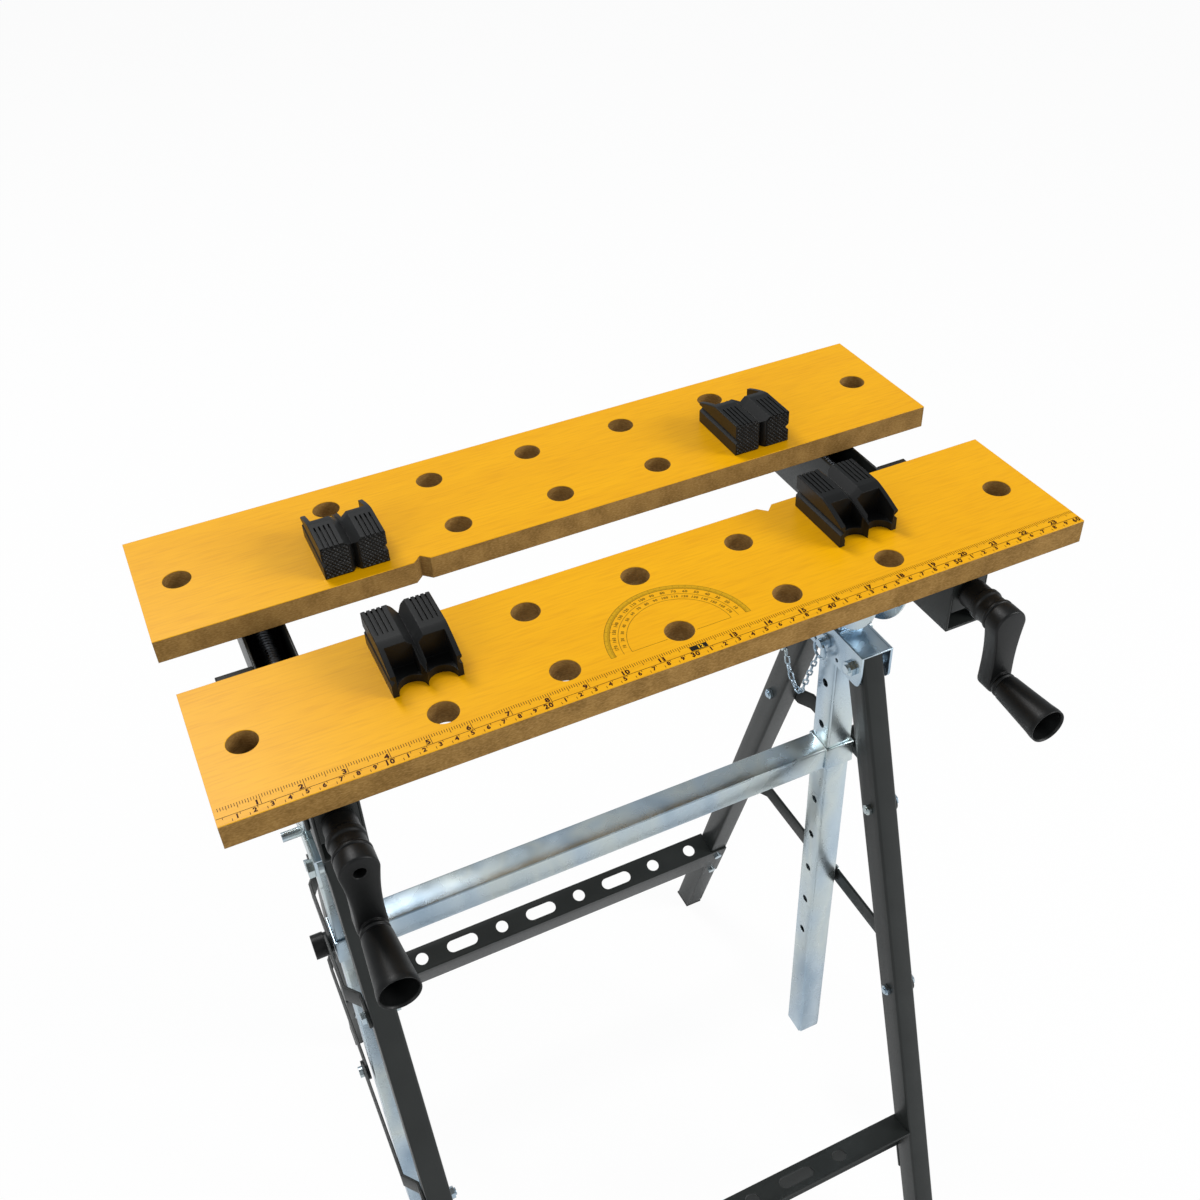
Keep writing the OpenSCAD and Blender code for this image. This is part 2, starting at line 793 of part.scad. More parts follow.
// Folded sheet across the legs: a side on their inner faces and a top with holes
module stretcher(rear) {
    top = -leg_down(rear, stretcher_top);
    color("dimgray")
        translate([frame_x, frame_y, 0])
            leg_space(rear)
                difference() {
                    union() {
                        block([-leg_in + play, -leg_d / 2 - stretcher_t, top - stretcher_h],
                              [leg_in - play, -leg_d / 2, top]);
                        for (side = [-1, 1])
                            block([side < 0 ? -leg_out : leg_in - play, -leg_d / 2 - stretcher_t, top - ear_h],
                                  [side < 0 ? -leg_in + play : leg_out, -leg_d / 2, top]);
                        block([-leg_in + play, -leg_d / 2 - stretcher_t, top - stretcher_t],
                              [leg_in - play, -leg_d / 2 - stretcher_t + stretcher_d, top]);
                    }
                    for (side = [-1, 1], i = [0, 1])
                        y_rod(stretcher_bolt_d + play, -leg_d / 2 - stretcher_t - over, 0,
                              side * leg_x, top - stretcher_bolt_drop - i * stretcher_bolt_pitch);
                    for (i = rear ? [-4:4] : [-3:3])
                        translate([i * stretcher_pitch, (stretcher_d - leg_d) / 2 - stretcher_t,
                                   top - stretcher_t - over]) {
                            cylinder(d = slot_w, h = stretcher_t + 2 * over);
                            if (i % 2 == 0 && abs(i) < 4) {
                                translate([-(slot_l - slot_w) / 2, -slot_w / 2, 0])
                                    cube([slot_l - slot_w, slot_w, stretcher_t + 2 * over]);
                                for (hand = [-1, 1])
                                    translate([hand * (slot_l - slot_w) / 2, 0, 0])
                                        cylinder(d = slot_w, h = stretcher_t + 2 * over);
                            }
                        }
                }
}

module stretcher_bolts(rear) {
    head_t = stretcher_bolt_d * head_share;
    color("silver")
        both_sides()
            leg_space(rear)
                for (i = [0, 1]) {
                    z = -leg_down(rear, stretcher_top) - stretcher_bolt_drop - i * stretcher_bolt_pitch;
                    y_rod(stretcher_bolt_d, -leg_d / 2 - stretcher_t - head_t, -leg_d / 4, leg_x, z);
                    y_rod(stretcher_bolt_d * hex_share, -leg_d / 2 - stretcher_t - head_t,
                          -leg_d / 2 - stretcher_t, leg_x, z);
                }
}

module stay_bolts(rear) {
    color("silver")
        both_sides()
            leg_space(rear)
                for (h = [crossbar_h, lower_stay_h])
                    hex_bolt(stay_bolt_d, leg_in - play, stay_leg_x + stay_t + play, 0, -leg_down(rear, h));
}

// Flat strap from a leg's bolt at y to the post's plane, bent outwards past the leg
module stay(rear, h, y) {
    plane = rear ? stay_rear_x : stay_front_x;
    bend_end = bend_start + bend_l;
    both_sides()
        mirror([0, rear ? 0 : 1, 0])
            translate([0, 0, h])
                difference() {
                    union() {
                        translate([0, 0, -stay_w / 2])
                            linear_extrude(height = stay_w)
                                polygon([
                                    [stay_leg_x, y],
                                    [stay_leg_x, y - bend_start],
                                    [plane, y - bend_end],
                                    [plane, 0],
                                    [plane + stay_t, 0],
                                    [plane + stay_t, y - bend_end],
                                    [stay_leg_x + stay_t, y - bend_start],
                                    [stay_leg_x + stay_t, y]
                                ]);
                        x_rod(stay_w, stay_leg_x, stay_leg_x + stay_t, y, 0);
                        x_rod(stay_w, plane, plane + stay_t, 0, 0);
                    }
                    x_rod(stay_bolt_d + 2 * play, stay_leg_x - over, stay_leg_x + stay_t + over, y, 0);
                    x_rod(stay_bolt_d + play, plane - over, plane + stay_t + over, 0, 0);
                }
}

module upper_stay_front() {
    color("dimgray") stay(false, crossbar_h, stay_ends[0]);
}

module upper_stay_rear() {
    color("dimgray") stay(true, crossbar_h, stay_ends[1]);
}

module lower_stay_front() {
    color("dimgray") stay(false, lower_stay_h, stay_ends[2]);
}

module lower_stay_rear() {
    color("dimgray") stay(true, lower_stay_h, stay_ends[3]);
}

// Black knobs on the collar end of the front upper stays
module stay_knobs() {
    color("black")
        both_sides() {
            x_rod(stay_bolt_d, stay_front_x, stay_front_x + stay_t + over, 0, crossbar_h);
            x_rod(knob_d, stay_front_x + stay_t + play, stay_front_x + stay_t + knob_d / 2, 0, crossbar_h);
        }
}

// Rivets in the middle of the lower stays
module stay_rivets() {
    color("silver")
        both_sides() {
            x_rod(stay_bolt_d, stay_front_x, stay_front_x + stay_t + over, 0, lower_stay_h);
            x_rod(stay_hex_d, stay_front_x + stay_t + play, stay_front_x + stay_t + stay_hex_t,
                  0, lower_stay_h);
        }
}

front_jaw();
rear_jaw();
jaw_bracket(-1);  // jaw_bracket_left
jaw_bracket(1);  // jaw_bracket_right
jaw_screws();
rail(-1);  // rail_left
rail(1);  // rail_right
bearing_plate(-1, -rail_front);  // rail_plate_left
bearing_plate(1, -rail_front);  // rail_plate_right
bearing_plate(-1, rear_plate_y);  // rail_rear_plate_left
bearing_plate(1, rear_plate_y);  // rail_rear_plate_right
saddle(-1);  // saddle_left
saddle(1);  // saddle_right
vice_nut(-1);  // vice_nut_left
vice_nut(1);  // vice_nut_right
vice_screw(-1);  // screw_left
vice_screw(1);  // screw_right
crank(-1);  // crank_left
crank(1);  // crank_right
crank_grip(-1);  // crank_grip_left
crank_grip(1);  // crank_grip_right
bench_dog(false, -1);  // dog_front_left
bench_dog(false, 1);  // dog_front_right
bench_dog(true, -1);  // dog_rear_left
bench_dog(true, 1);  // dog_rear_right
post(-1);  // post_left
post(1);  // post_right
tilt_bolts(tilt_h);  // tilt_pivot_bolts
tilt_bolts(tilt_h - clamp_r);  // tilt_clamp_bolts
apex_bracket(-1);  // apex_bracket_left
apex_bracket(1);  // apex_bracket_right
leg_pivot_bolts();
leg_spacers();
lock_pin(-1);  // lock_pin_left
lock_pin(1);  // lock_pin_right
chain(-1);  // chain_left
chain(1);  // chain_right
crossbar();
collar(-1);  // collar_left
collar(1);  // collar_right
leg(false, -1);  // front_leg_left
leg(false, 1);  // front_leg_right
stretcher(false);  // front_stretcher
feet(false);  // front_feet
stretcher_bolts(false);  // front_stretcher_bolts
stay_bolts(false);  // front_stay_bolts
leg(true, -1);  // rear_leg_left
leg(true, 1);  // rear_leg_right
stretcher(true);  // rear_stretcher
feet(true);  // rear_feet
stretcher_bolts(true);  // rear_stretcher_bolts
stay_bolts(true);  // rear_stay_bolts
chain_screws();
upper_stay_front();
upper_stay_rear();
lower_stay_front();
lower_stay_rear();
stay_knobs();
stay_rivets();
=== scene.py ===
import json
import math

import bmesh
import bpy
import numpy as np
from mathutils import Matrix, Vector


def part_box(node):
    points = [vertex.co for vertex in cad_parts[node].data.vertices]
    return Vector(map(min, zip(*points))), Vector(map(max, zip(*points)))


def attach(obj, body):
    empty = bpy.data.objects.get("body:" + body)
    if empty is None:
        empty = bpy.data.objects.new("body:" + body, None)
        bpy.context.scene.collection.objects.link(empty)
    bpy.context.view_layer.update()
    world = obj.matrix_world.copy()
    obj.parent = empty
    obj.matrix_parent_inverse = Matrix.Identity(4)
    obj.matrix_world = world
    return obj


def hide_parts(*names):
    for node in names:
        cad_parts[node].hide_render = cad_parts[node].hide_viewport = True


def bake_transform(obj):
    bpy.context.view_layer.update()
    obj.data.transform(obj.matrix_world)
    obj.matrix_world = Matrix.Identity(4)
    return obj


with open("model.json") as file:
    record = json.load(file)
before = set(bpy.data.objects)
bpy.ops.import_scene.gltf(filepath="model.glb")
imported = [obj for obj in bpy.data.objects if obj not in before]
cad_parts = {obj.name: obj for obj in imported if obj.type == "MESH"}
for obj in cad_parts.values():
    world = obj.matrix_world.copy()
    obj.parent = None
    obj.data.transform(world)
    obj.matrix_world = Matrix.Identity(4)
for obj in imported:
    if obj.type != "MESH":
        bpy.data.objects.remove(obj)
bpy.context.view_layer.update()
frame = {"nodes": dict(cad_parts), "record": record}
cadNodes = frame["nodes"]
print("frame loaded:", len(cadNodes), "nodes")

mm = 0.001

# Camera and framing

# Worked out from the board corners, the hole rows and the posts in the photograph
cameraSetup = {
    "place": (-0.2864, -0.6834, 1.3863),
    "right": (0.90472, -0.42385, -0.04269),
    "down": (-0.29881, -0.55999, -0.77273),
    "ahead": (0.30362, 0.71187, -0.63329),
    "lens": 38.515,
    "sensor": 36.0,
}


def makeCamera(setup):
    # columns of the camera's matrix are its right, up and backward directions
    data = bpy.data.cameras.new("photoCamera")
    data.lens = setup["lens"]
    data.sensor_width = setup["sensor"]
    data.clip_start = 0.01
    camera = bpy.data.objects.new("photoCamera", data)
    right = Vector(setup["right"])
    up = -Vector(setup["down"])
    back = -Vector(setup["ahead"])
    turn = Matrix((right, up, back)).transposed().to_4x4()
    camera.matrix_world = Matrix.Translation(Vector(setup["place"])) @ turn
    bpy.context.scene.collection.objects.link(camera)
    bpy.context.scene.camera = camera


makeCamera(cameraSetup)
bpy.context.scene.view_settings.view_transform = "Standard"
print("camera placed")

# Small helpers for materials


def linearColour(text):
    # sRGB hex to linear: the lower part is a straight line, the rest a power curve
    parts = [int(text[i:i + 2], 16) / 255 for i in (1, 3, 5)]
    linear = [p / 12.92 if p <= 0.04045 else ((p + 0.055) / 1.055) ** 2.4 for p in parts]
    return (*linear, 1.0)


def addNode(tree, kind, settings=None, inputs=None, links=None):
    node = tree.nodes.new(kind)
    for key, value in (settings or {}).items():
        setattr(node, key, value)
    for key, value in (inputs or {}).items():
        node.inputs[key].default_value = value
    for key, socket in (links or {}).items():
        tree.links.new(socket, node.inputs[key])
    return node


def startMaterial(name):
    material = bpy.data.materials.new(name)
    material.use_nodes = True
    tree = material.node_tree
    tree.nodes.clear()
    output = addNode(tree, "ShaderNodeOutputMaterial")
    shader = addNode(tree, "ShaderNodeBsdfPrincipled")
    tree.links.new(shader.outputs["BSDF"], output.inputs["Surface"])
    coords = addNode(tree, "ShaderNodeTexCoord")
    return material, tree, shader, coords.outputs["Object"]


def noise(tree, coords, sizeMm, detail=2.0, stretch=(1, 1, 1)):
    # a noise whose blobs are about sizeMm across, longer where stretch is above 1
    perMetre = 1000 / sizeMm
    scale = tuple(perMetre / s for s in stretch)
    scaled = addNode(tree, "ShaderNodeMapping", inputs={"Scale": scale}, links={"Vector": coords})
    return addNode(tree, "ShaderNodeTexNoise", inputs={"Scale": 1.0, "Detail": detail},
                   links={"Vector": scaled.outputs["Vector"]}).outputs["Fac"]


def ramp(tree, factor, stops):
    # colour ramp from (place, hex) stops
    node = addNode(tree, "ShaderNodeValToRGB", links={"Fac": factor})
    elements = node.color_ramp.elements
    while len(elements) < len(stops):
        elements.new(0.5)
    for element, (place, colour) in zip(elements, stops):
        element.position = place
        element.color = linearColour(colour)
    return node.outputs["Color"]


def mixColour(tree, factor, first, second):
    return addNode(tree, "ShaderNodeMixRGB",
                   links={"Fac": factor, "Color1": first, "Color2": second}).outputs["Color"]


def between(tree, value, low, high, outLow, outHigh):
    return addNode(tree, "ShaderNodeMapRange",
                   inputs={"From Min": low, "From Max": high, "To Min": outLow, "To Max": outHigh},
                   links={"Value": value}).outputs["Result"]


def bump(tree, height, depthMm, strength=1.0, normal=None):
    links = {"Height": height}
    if normal is not None:
        links["Normal"] = normal
    return addNode(tree, "ShaderNodeBump", inputs={"Distance": depthMm * mm, "Strength": strength},
                   links=links).outputs["Normal"]


def softEdge(tree, radiusMm):
    return addNode(tree, "ShaderNodeBevel", settings={"samples": 4},
                   inputs={"Radius": radiusMm * mm}).outputs["Normal"]


# Materials

melamineSetup = {
    # the change from bare edge to melamine, just below the boards' top
    "edgeEnds": 849.45 * mm,
    "faceBegins": 849.6 * mm,
    "broadShare": 0.45,
    "patchShare": 0.45,
    "faceBump": 0.12,
}


def makeMelamine(setup):
    # yellow melamine-faced fibreboard, sawn and drilled: a faint printed grain along the
    # smooth top, and bare felted brown edges with short fibres
    material, tree, shader, coords = startMaterial("melamineFacedMdf")
    axes = addNode(tree, "ShaderNodeSeparateXYZ", links={"Vector": coords})
    grain = noise(tree, coords, 1.7, 3.0, (14, 1, 1))
    broad = noise(tree, coords, 24, 2.0, (5, 1, 1))
    grainColour = ramp(tree, grain, [(0.32, "#E39D00"), (0.5, "#EFAB00"), (0.68, "#F4B100")])
    broadColour = ramp(tree, broad, [(0.35, "#ECA800"), (0.65, "#F4B200")])
    face = addNode(tree, "ShaderNodeMixRGB", inputs={"Fac": setup["broadShare"]},
                   links={"Color1": grainColour, "Color2": broadColour}).outputs["Color"]
    fibre = noise(tree, coords, 0.9, 4.0, (2.4, 2.4, 1))
    patch = noise(tree, coords, 14, 2.0)
    fibreColour = ramp(tree, fibre, [(0.3, "#6F5122"), (0.5, "#8C6A34"), (0.72, "#AC8750")])
    patchColour = ramp(tree, patch, [(0.35, "#79592A"), (0.65, "#A17C44")])
    edge = addNode(tree, "ShaderNodeMixRGB", inputs={"Fac": setup["patchShare"]},
                   links={"Color1": fibreColour, "Color2": patchColour}).outputs["Color"]
    onTop = between(tree, axes.outputs["Z"], setup["edgeEnds"], setup["faceBegins"], 0.0, 1.0)
    tree.links.new(mixColour(tree, onTop, edge, face), shader.inputs["Base Color"])
    tree.links.new(between(tree, onTop, 0, 1, 0.85, 0.34), shader.inputs["Roughness"])
    shader.inputs["Specular IOR Level"].default_value = 0.22
    fibreShare = between(tree, onTop, 0, 1, 1.0, setup["faceBump"])
    edgeHeight = addNode(tree, "ShaderNodeMath", settings={"operation": "MULTIPLY"},
                         links={0: fibre, 1: fibreShare}).outputs["Value"]
    tree.links.new(bump(tree, edgeHeight, 0.18, 0.6, softEdge(tree, 0.5)), shader.inputs["Normal"])
    return material


def makeZinc():
    # bright zinc plating, blue passivated: pale, smooth and metallic, with soft bluish
    # and straw-coloured clouds and a shine that is a little duller in some of them
    material, tree, shader, coords = startMaterial("bluePassivatedZinc")
    cloud = noise(tree, coords, 55, 2.0, (1, 1, 2.6))
    bloom = noise(tree, coords, 24, 2.0)
    tint = [(0.28, "#93A9BC"), (0.45, "#B9C9D4"), (0.57, "#C8D2D2"), (0.72, "#A2B7C8")]
    tree.links.new(ramp(tree, cloud, tint), shader.inputs["Base Color"])
    shader.inputs["Metallic"].default_value = 1.0
    tree.links.new(between(tree, bloom, 0.3, 0.7, 0.22, 0.32), shader.inputs["Roughness"])
    tree.links.new(bump(tree, bloom, 0.02, 0.2, softEdge(tree, 0.6)), shader.inputs["Normal"])
    return material


def makePaint():
    # dark grey powder coat on steel: an even satin with a fine orange peel
    material, tree, shader, coords = startMaterial("darkPowderCoat")
    peel = noise(tree, coords, 1.3, 2.0)
    cloud = noise(tree, coords, 45, 2.0)
    grey = ramp(tree, cloud, [(0.3, "#1B1E1D"), (0.7, "#232625")])
    tree.links.new(grey, shader.inputs["Base Color"])
    tree.links.new(between(tree, peel, 0.3, 0.7, 0.32, 0.44), shader.inputs["Roughness"])
    shader.inputs["Specular IOR Level"].default_value = 0.3
    tree.links.new(bump(tree, peel, 0.05, 0.6, softEdge(tree, 0.9)), shader.inputs["Normal"])
    return material


def makePlastic():
    # black injection-moulded nylon: satin, with the fine spark texture of its mould
    material, tree, shader, coords = startMaterial("mouldedBlackNylon")
    spark = noise(tree, coords, 0.7, 2.0)
    cloud = noise(tree, coords, 22, 2.0)
    black = ramp(tree, cloud, [(0.3, "#090A0A"), (0.7, "#101111")])
    tree.links.new(black, shader.inputs["Base Color"])
    tree.links.new(between(tree, spark, 0.3, 0.7, 0.36, 0.5), shader.inputs["Roughness"])
    shader.inputs["Specular IOR Level"].default_value = 0.28
    tree.links.new(bump(tree, spark, 0.04, 0.6, softEdge(tree, 0.5)), shader.inputs["Normal"])
    return material


def makeOiledSteel():
    # rolled thread steel with a film of oil: dark, metallic, brighter on the crests
    material, tree, shader, coords = startMaterial("oiledScrewSteel")
    film = noise(tree, coords, 6, 3.0)
    steel = ramp(tree, film, [(0.3, "#4A4C50"), (0.7, "#7A7D82")])
    tree.links.new(steel, shader.inputs["Base Color"])
    shader.inputs["Metallic"].default_value = 1.0
    tree.links.new(between(tree, film, 0.3, 0.7, 0.25, 0.42), shader.inputs["Roughness"])
    return material


def makeInk(name, dark, pale, roughness):
    # screen-printed ink, a little worn where it is thin
    material, tree, shader, coords = startMaterial(name)
    wear = noise(tree, coords, 1.1, 3.0)
    tree.links.new(ramp(tree, wear, [(0.3, dark), (0.75, pale)]), shader.inputs["Base Color"])
    shader.inputs["Roughness"].default_value = roughness
    shader.inputs["Specular IOR Level"].default_value = 0.12
    return material


finishes = {
    "worktop_board": makeMelamine(melamineSetup),
    "zinc_plated_steel": makeZinc(),
    "dark_painted_steel": makePaint(),
    "black_plastic": makePlastic(),
    "screw_steel": makeOiledSteel(),
}
rulerInk = makeInk("brownRulerInk", "#2E0D02", "#4A1A06", 0.5)
protractorInk = makeInk("oliveProtractorInk", "#75560A", "#92700E", 0.45)
bandInk = makeInk("paleProtractorBand", "#C9980F", "#D6A414", 0.4)
boxInk = makeInk("blackRulerBox", "#171310", "#221C16", 0.45)
yellowInk = makeInk("openYellowDigits", "#E8AE18", "#F0B81E", 0.4)

for part in frame["record"]["subparts"]:
    node = cadNodes[part["node"]]
    node.data.materials.clear()
    node.data.materials.append(finishes[part["material_slot"]])
print("materials made")

# Surfaces worked out as arrays


def placeMesh(name, points, faces, material, body, flat=False, merge=True, sharp=35):
    mesh = bpy.data.meshes.new(name)
    mesh.from_pydata(np.asarray(points, float).tolist(), [], [list(map(int, f)) for f in faces])
    if merge:
        shell = bmesh.new()
        shell.from_mesh(mesh)
        bmesh.ops.remove_doubles(shell, verts=shell.verts, dist=1e-6)
        bmesh.ops.dissolve_degenerate(shell, edges=shell.edges, dist=1e-7)
        bmesh.ops.recalc_face_normals(shell, faces=shell.faces)
        shell.to_mesh(mesh)
        shell.free()
    mesh.polygons.foreach_set("use_smooth", np.full(len(mesh.polygons), not flat))
    if not flat:
        mesh.set_sharp_from_angle(angle=math.radians(sharp))
    mesh.materials.append(material)
    piece = bpy.data.objects.new(name, mesh)
    bpy.context.scene.collection.objects.link(piece)
    if body:
        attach(piece, body)
    return piece


def gridFaces(rows, columns, wrapRows=False, wrapColumns=True, start=0):
    # quads between neighbouring rows and columns of a grid, closed round where asked
    i = np.arange(rows if wrapRows else rows - 1)
    j = np.arange(columns if wrapColumns else columns - 1)
    i, j = np.meshgrid(i, j, indexing="ij")
    nextI = (i + 1) % rows
    nextJ = (j + 1) % columns
    quads = np.stack([i * columns + j, i * columns + nextJ,
                      nextI * columns + nextJ, nextI * columns + j], -1)
    return (quads.reshape(-1, 4) + start).tolist()


def revolve(profile, centre, steps=48):
    # a profile of (radius, place along Y) turned round a line along Y through centre:
    # x = radius cos, z = radius sin, y = place
    profile = np.asarray(profile, float)
    turn = np.linspace(0, 2 * np.pi, steps, endpoint=False)
    radius = profile[:, 0][:, None]
    x = centre[0] + radius * np.cos(turn)
    z = centre[2] + radius * np.sin(turn)
    y = np.broadcast_to((centre[1] + profile[:, 1])[:, None], x.shape)
    return np.stack([x, y, z], -1).reshape(-1, 3), gridFaces(len(profile), steps)


def joinShapes(shapes):
    points, faces, start = [], [], 0
    for shapePoints, shapeFaces in shapes:
        points.append(np.asarray(shapePoints, float))
        faces.extend([[k + start for k in f] for f in shapeFaces])
        start += len(shapePoints)
    return np.concatenate(points), faces


def roundedProfile(stations, radius=0.8 * mm, steps=4):
    # rounds each inner corner of a polyline with a quadratic curve of about that radius
    stations = np.asarray(stations, float)
    rounded = [stations[0]]
    for before, corner, after in zip(stations[:-2], stations[1:-1], stations[2:]):
        inward = before - corner
        outward = after - corner
        lengthIn = np.linalg.norm(inward)
        lengthOut = np.linalg.norm(outward)
        reach = min(radius, 0.45 * lengthIn, 0.45 * lengthOut)
        first = corner + inward / lengthIn * reach
        last = corner + outward / lengthOut * reach
        for share in np.linspace(0, 1, steps + 1):
            rounded.append((1 - share) ** 2 * first + 2 * share * (1 - share) * corner
                           + share ** 2 * last)
    rounded.append(stations[-1])
    return np.array(rounded)


# Tubes and sheets with rounded edges

# node: radius of the rounded edges and the shortest edge that gets one, in mm
roundedNodes = {
    "post_left": (2.0, 30), "post_right": (2.0, 30), "crossbar": (2.0, 30),
    "front_leg_left": (2.2, 30), "front_leg_right": (2.2, 30),
    "rear_leg_left": (2.2, 30), "rear_leg_right": (2.2, 30),
    "collar_left": (0.6, 3), "collar_right": (0.6, 3),
    "apex_bracket_left": (0.7, 3), "apex_bracket_right": (0.7, 3),
    "saddle_left": (0.6, 3), "saddle_right": (0.6, 3),
    "rail_left": (0.7, 10), "rail_right": (0.7, 10),
    "jaw_bracket_left": (1.0, 10), "jaw_bracket_right": (1.0, 10),
    "front_stretcher": (0.7, 10), "rear_stretcher": (0.7, 10),
    "upper_stay_front": (0.6, 5), "upper_stay_rear": (0.6, 5),
    "lower_stay_front": (0.6, 5), "lower_stay_rear": (0.6, 5),
    "front_feet": (0.8, 8), "rear_feet": (0.8, 8),
}
# two faces that meet at more than this, in radians, have an edge to round
cornerAngle = 0.7
# faces that meet at less than this are one flat face
flatAngle = math.radians(1)

# flat plates in the tops of the apex brackets
webSetup = {
    "nodes": ("apex_bracket_left", "apex_bracket_right"),
    "wall": 2.2 * mm,
    "postWeb": 15.0 * mm,
    "below": 0.3 * mm,
    "thickness": 0.9 * mm,
    "overlap": 0.4 * mm,
}


def makeWebs(setup, name):
    # two flat plates that close the bracket's top before and behind the post
    low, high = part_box(name)
    inset = setup["wall"] - setup["overlap"]
    middle = (low[1] + high[1]) / 2
    near = setup["postWeb"] - setup["overlap"]
    far = high[1] - middle - inset
    levels = (high[2] - setup["below"] - setup["thickness"], high[2] - setup["below"])
    sides = [[0, 1, 3, 2], [4, 6, 7, 5], [0, 4, 5, 1], [2, 3, 7, 6], [0, 2, 6, 4], [1, 5, 7, 3]]
    shapes = []
    for hand in (-1, 1):
        corners = np.array([[x, middle + hand * y, z]
                            for x in (low[0] + inset, high[0] - inset)
                            for y in (near, far) for z in levels])
        shapes.append((corners, sides))
    return shapes


def makeRoundedCopy(name, radiusMm, shortestMm):
    # the node's own form with its long outer edges rounded off inwards
    shell = bmesh.new()
    shell.from_mesh(cadNodes[name].data)
    bmesh.ops.remove_doubles(shell, verts=shell.verts, dist=2e-6)
    bmesh.ops.dissolve_limit(shell, angle_limit=flatAngle, verts=shell.verts, edges=shell.edges)
    edges = [e for e in shell.edges if len(e.link_faces) == 2 and e.is_convex
             and e.calc_length() > shortestMm * mm and e.calc_face_angle() > cornerAngle]
    bmesh.ops.bevel(shell, geom=edges, offset=radiusMm * mm, segments=3, profile=0.5,
                    affect="EDGES", clamp_overlap=True)
    shell.verts.index_update()
    points = [v.co[:] for v in shell.verts]
    faces = [[v.index for v in f.verts] for f in shell.faces]
    shell.free()
    if name in webSetup["nodes"]:
        points, faces = joinShapes([(points, faces)] + makeWebs(webSetup, name))
    record = frame["record"]
    body = next(b for b, members in record["behaviour"]["bodies"].items() if name in members)
    slotName = next(part["material_slot"] for part in record["subparts"] if part["node"] == name)
    piece = placeMesh(name + "Form", points, faces, finishes[slotName], body)
    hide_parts(name)


for name, (radiusMm, shortestMm) in roundedNodes.items():
    makeRoundedCopy(name, radiusMm, shortestMm)
print("tubes and sheets rounded")

# Ruler and protractor on the front board

# Distances from the board's front edge and, along it, from its middle; lengths and shifts
# that end in Mm are in millimetres
rulerSetup = {
    "width": 605 * mm,
    "endGap": 0.6 * mm,
    "centimetreZero": -298.5 * mm,
    "centimetres": 60,
    "inchZero": -301.4 * mm,
    "inch": 25.4 * mm,
    "inches": 24,
    "inchParts": 16,
    "separator": 6.0 * mm,
    "line": 0.34 * mm,
    "lift": 0.06 * mm,
    "tickFrom": 4.4 * mm,
    "halfTick": (1.0 * mm, 3.0 * mm),
    "inchTickTop": 14.0 * mm,
    # whole inch, half, quarter, sixteenth
    "inchTicksMm": (7.6, 4.4, 3.4, 2.7),
    "smallDigit": 3.6 * mm,
    "smallLine": 3.6 * mm,
    "onesShift": 1.9 * mm,
    "tensShift": 3.1 * mm,
    "tensGrowth": 1.15,
    "bigDigit": 4.0 * mm,
    "bigLine": 8.6 * mm,
    "bigBold": 1.12,
    # shift of inch numbers of one figure and of two
    "bigShiftMm": (2.2, 0.6),
    "boxed": 12,
    "box": (-2.5 * mm, 6.6 * mm, 9.5 * mm, 10.8 * mm),
    "boxText": (4.6 * mm, 8.7 * mm),
    "boxDigit": 3.2 * mm,
}
protractorSetup = {
    "baseline": 24.0 * mm,
    "radii": (50 * mm, 46.5 * mm, 41 * mm, 35.5 * mm),
    "line": 0.3 * mm,
    "digit": 2.4 * mm,
    "holeReach": 10.6 * mm,
    # strokes at ten degrees, five and one
    "strokesMm": (3.4, 2.4, 1.5),
    "tenStroke": 1.2 * mm,
    # widths of the strokes on the band and of those inside it, as shares of a line's
    "strokeShare": 0.7,
    "tenShare": 0.8,
    "outerText": 2.9 * mm,
    "innerText": 2.7 * mm,
    "innerShrink": 0.92,
}
digitSetup = {"resolution": 3, "embolden": 0.042, "step": 0.74}


def bar(x0, y0, x1, y1):
    return (np.array([[x0, y0, 0], [x1, y0, 0], [x1, y1, 0], [x0, y1, 0]]), [[0, 1, 2, 3]])


def stroke(start, end, width):
    # a thin quad between two points
    start = np.array(start, float)
    end = np.array(end, float)
    along = (end - start) / np.linalg.norm(end - start)
    side = np.array([-along[1], along[0]]) * width / 2
    corners = [start - side, end - side, end + side, start + side]
    return (np.array([[c[0], c[1], 0] for c in corners]), [[0, 1, 2, 3]])


def arcBand(centre, inner, outer, fromAngle=0.0, toAngle=math.pi, steps=90):
    # flat ring between two radii: x = r cos, y = r sin
    angle = np.linspace(fromAngle, toAngle, steps + 1)
    radius = np.array([inner, outer])[:, None]
    x = centre[0] + radius * np.cos(angle)
    y = centre[1] + radius * np.sin(angle)
    points = np.stack([x, y, np.zeros_like(x)], -1).reshape(-1, 3)
    return points, [list(reversed(f)) for f in gridFaces(2, steps + 1, wrapColumns=False)]


def makeDigits(setup):
    # outline of each digit, one unit high, its middle at zero
    digits = {}
    for figure in "0123456789":
        curve = bpy.data.curves.new("digit", "FONT")
        curve.body = figure
        curve.size = 1.0
        curve.resolution_u = setup["resolution"]
        curve.offset = setup["embolden"]
        letter = bpy.data.objects.new("digit", curve)
        bpy.context.scene.collection.objects.link(letter)
        bpy.context.view_layer.update()
        shaped = letter.evaluated_get(bpy.context.evaluated_depsgraph_get())
        flatMesh = bpy.data.meshes.new_from_object(shaped)
        flatMesh.calc_loop_triangles()
        points = np.array([v.co[:] for v in flatMesh.vertices])
        faces = [list(t.vertices) for t in flatMesh.loop_triangles]
        low = points.min(0)
        high = points.max(0)
        points = (points - (low + high) / 2) / (high[1] - low[1])
        digits[figure] = (points, faces)
        bpy.data.objects.remove(letter)
        bpy.data.meshes.remove(flatMesh)
        bpy.data.curves.remove(curve)
    return digits


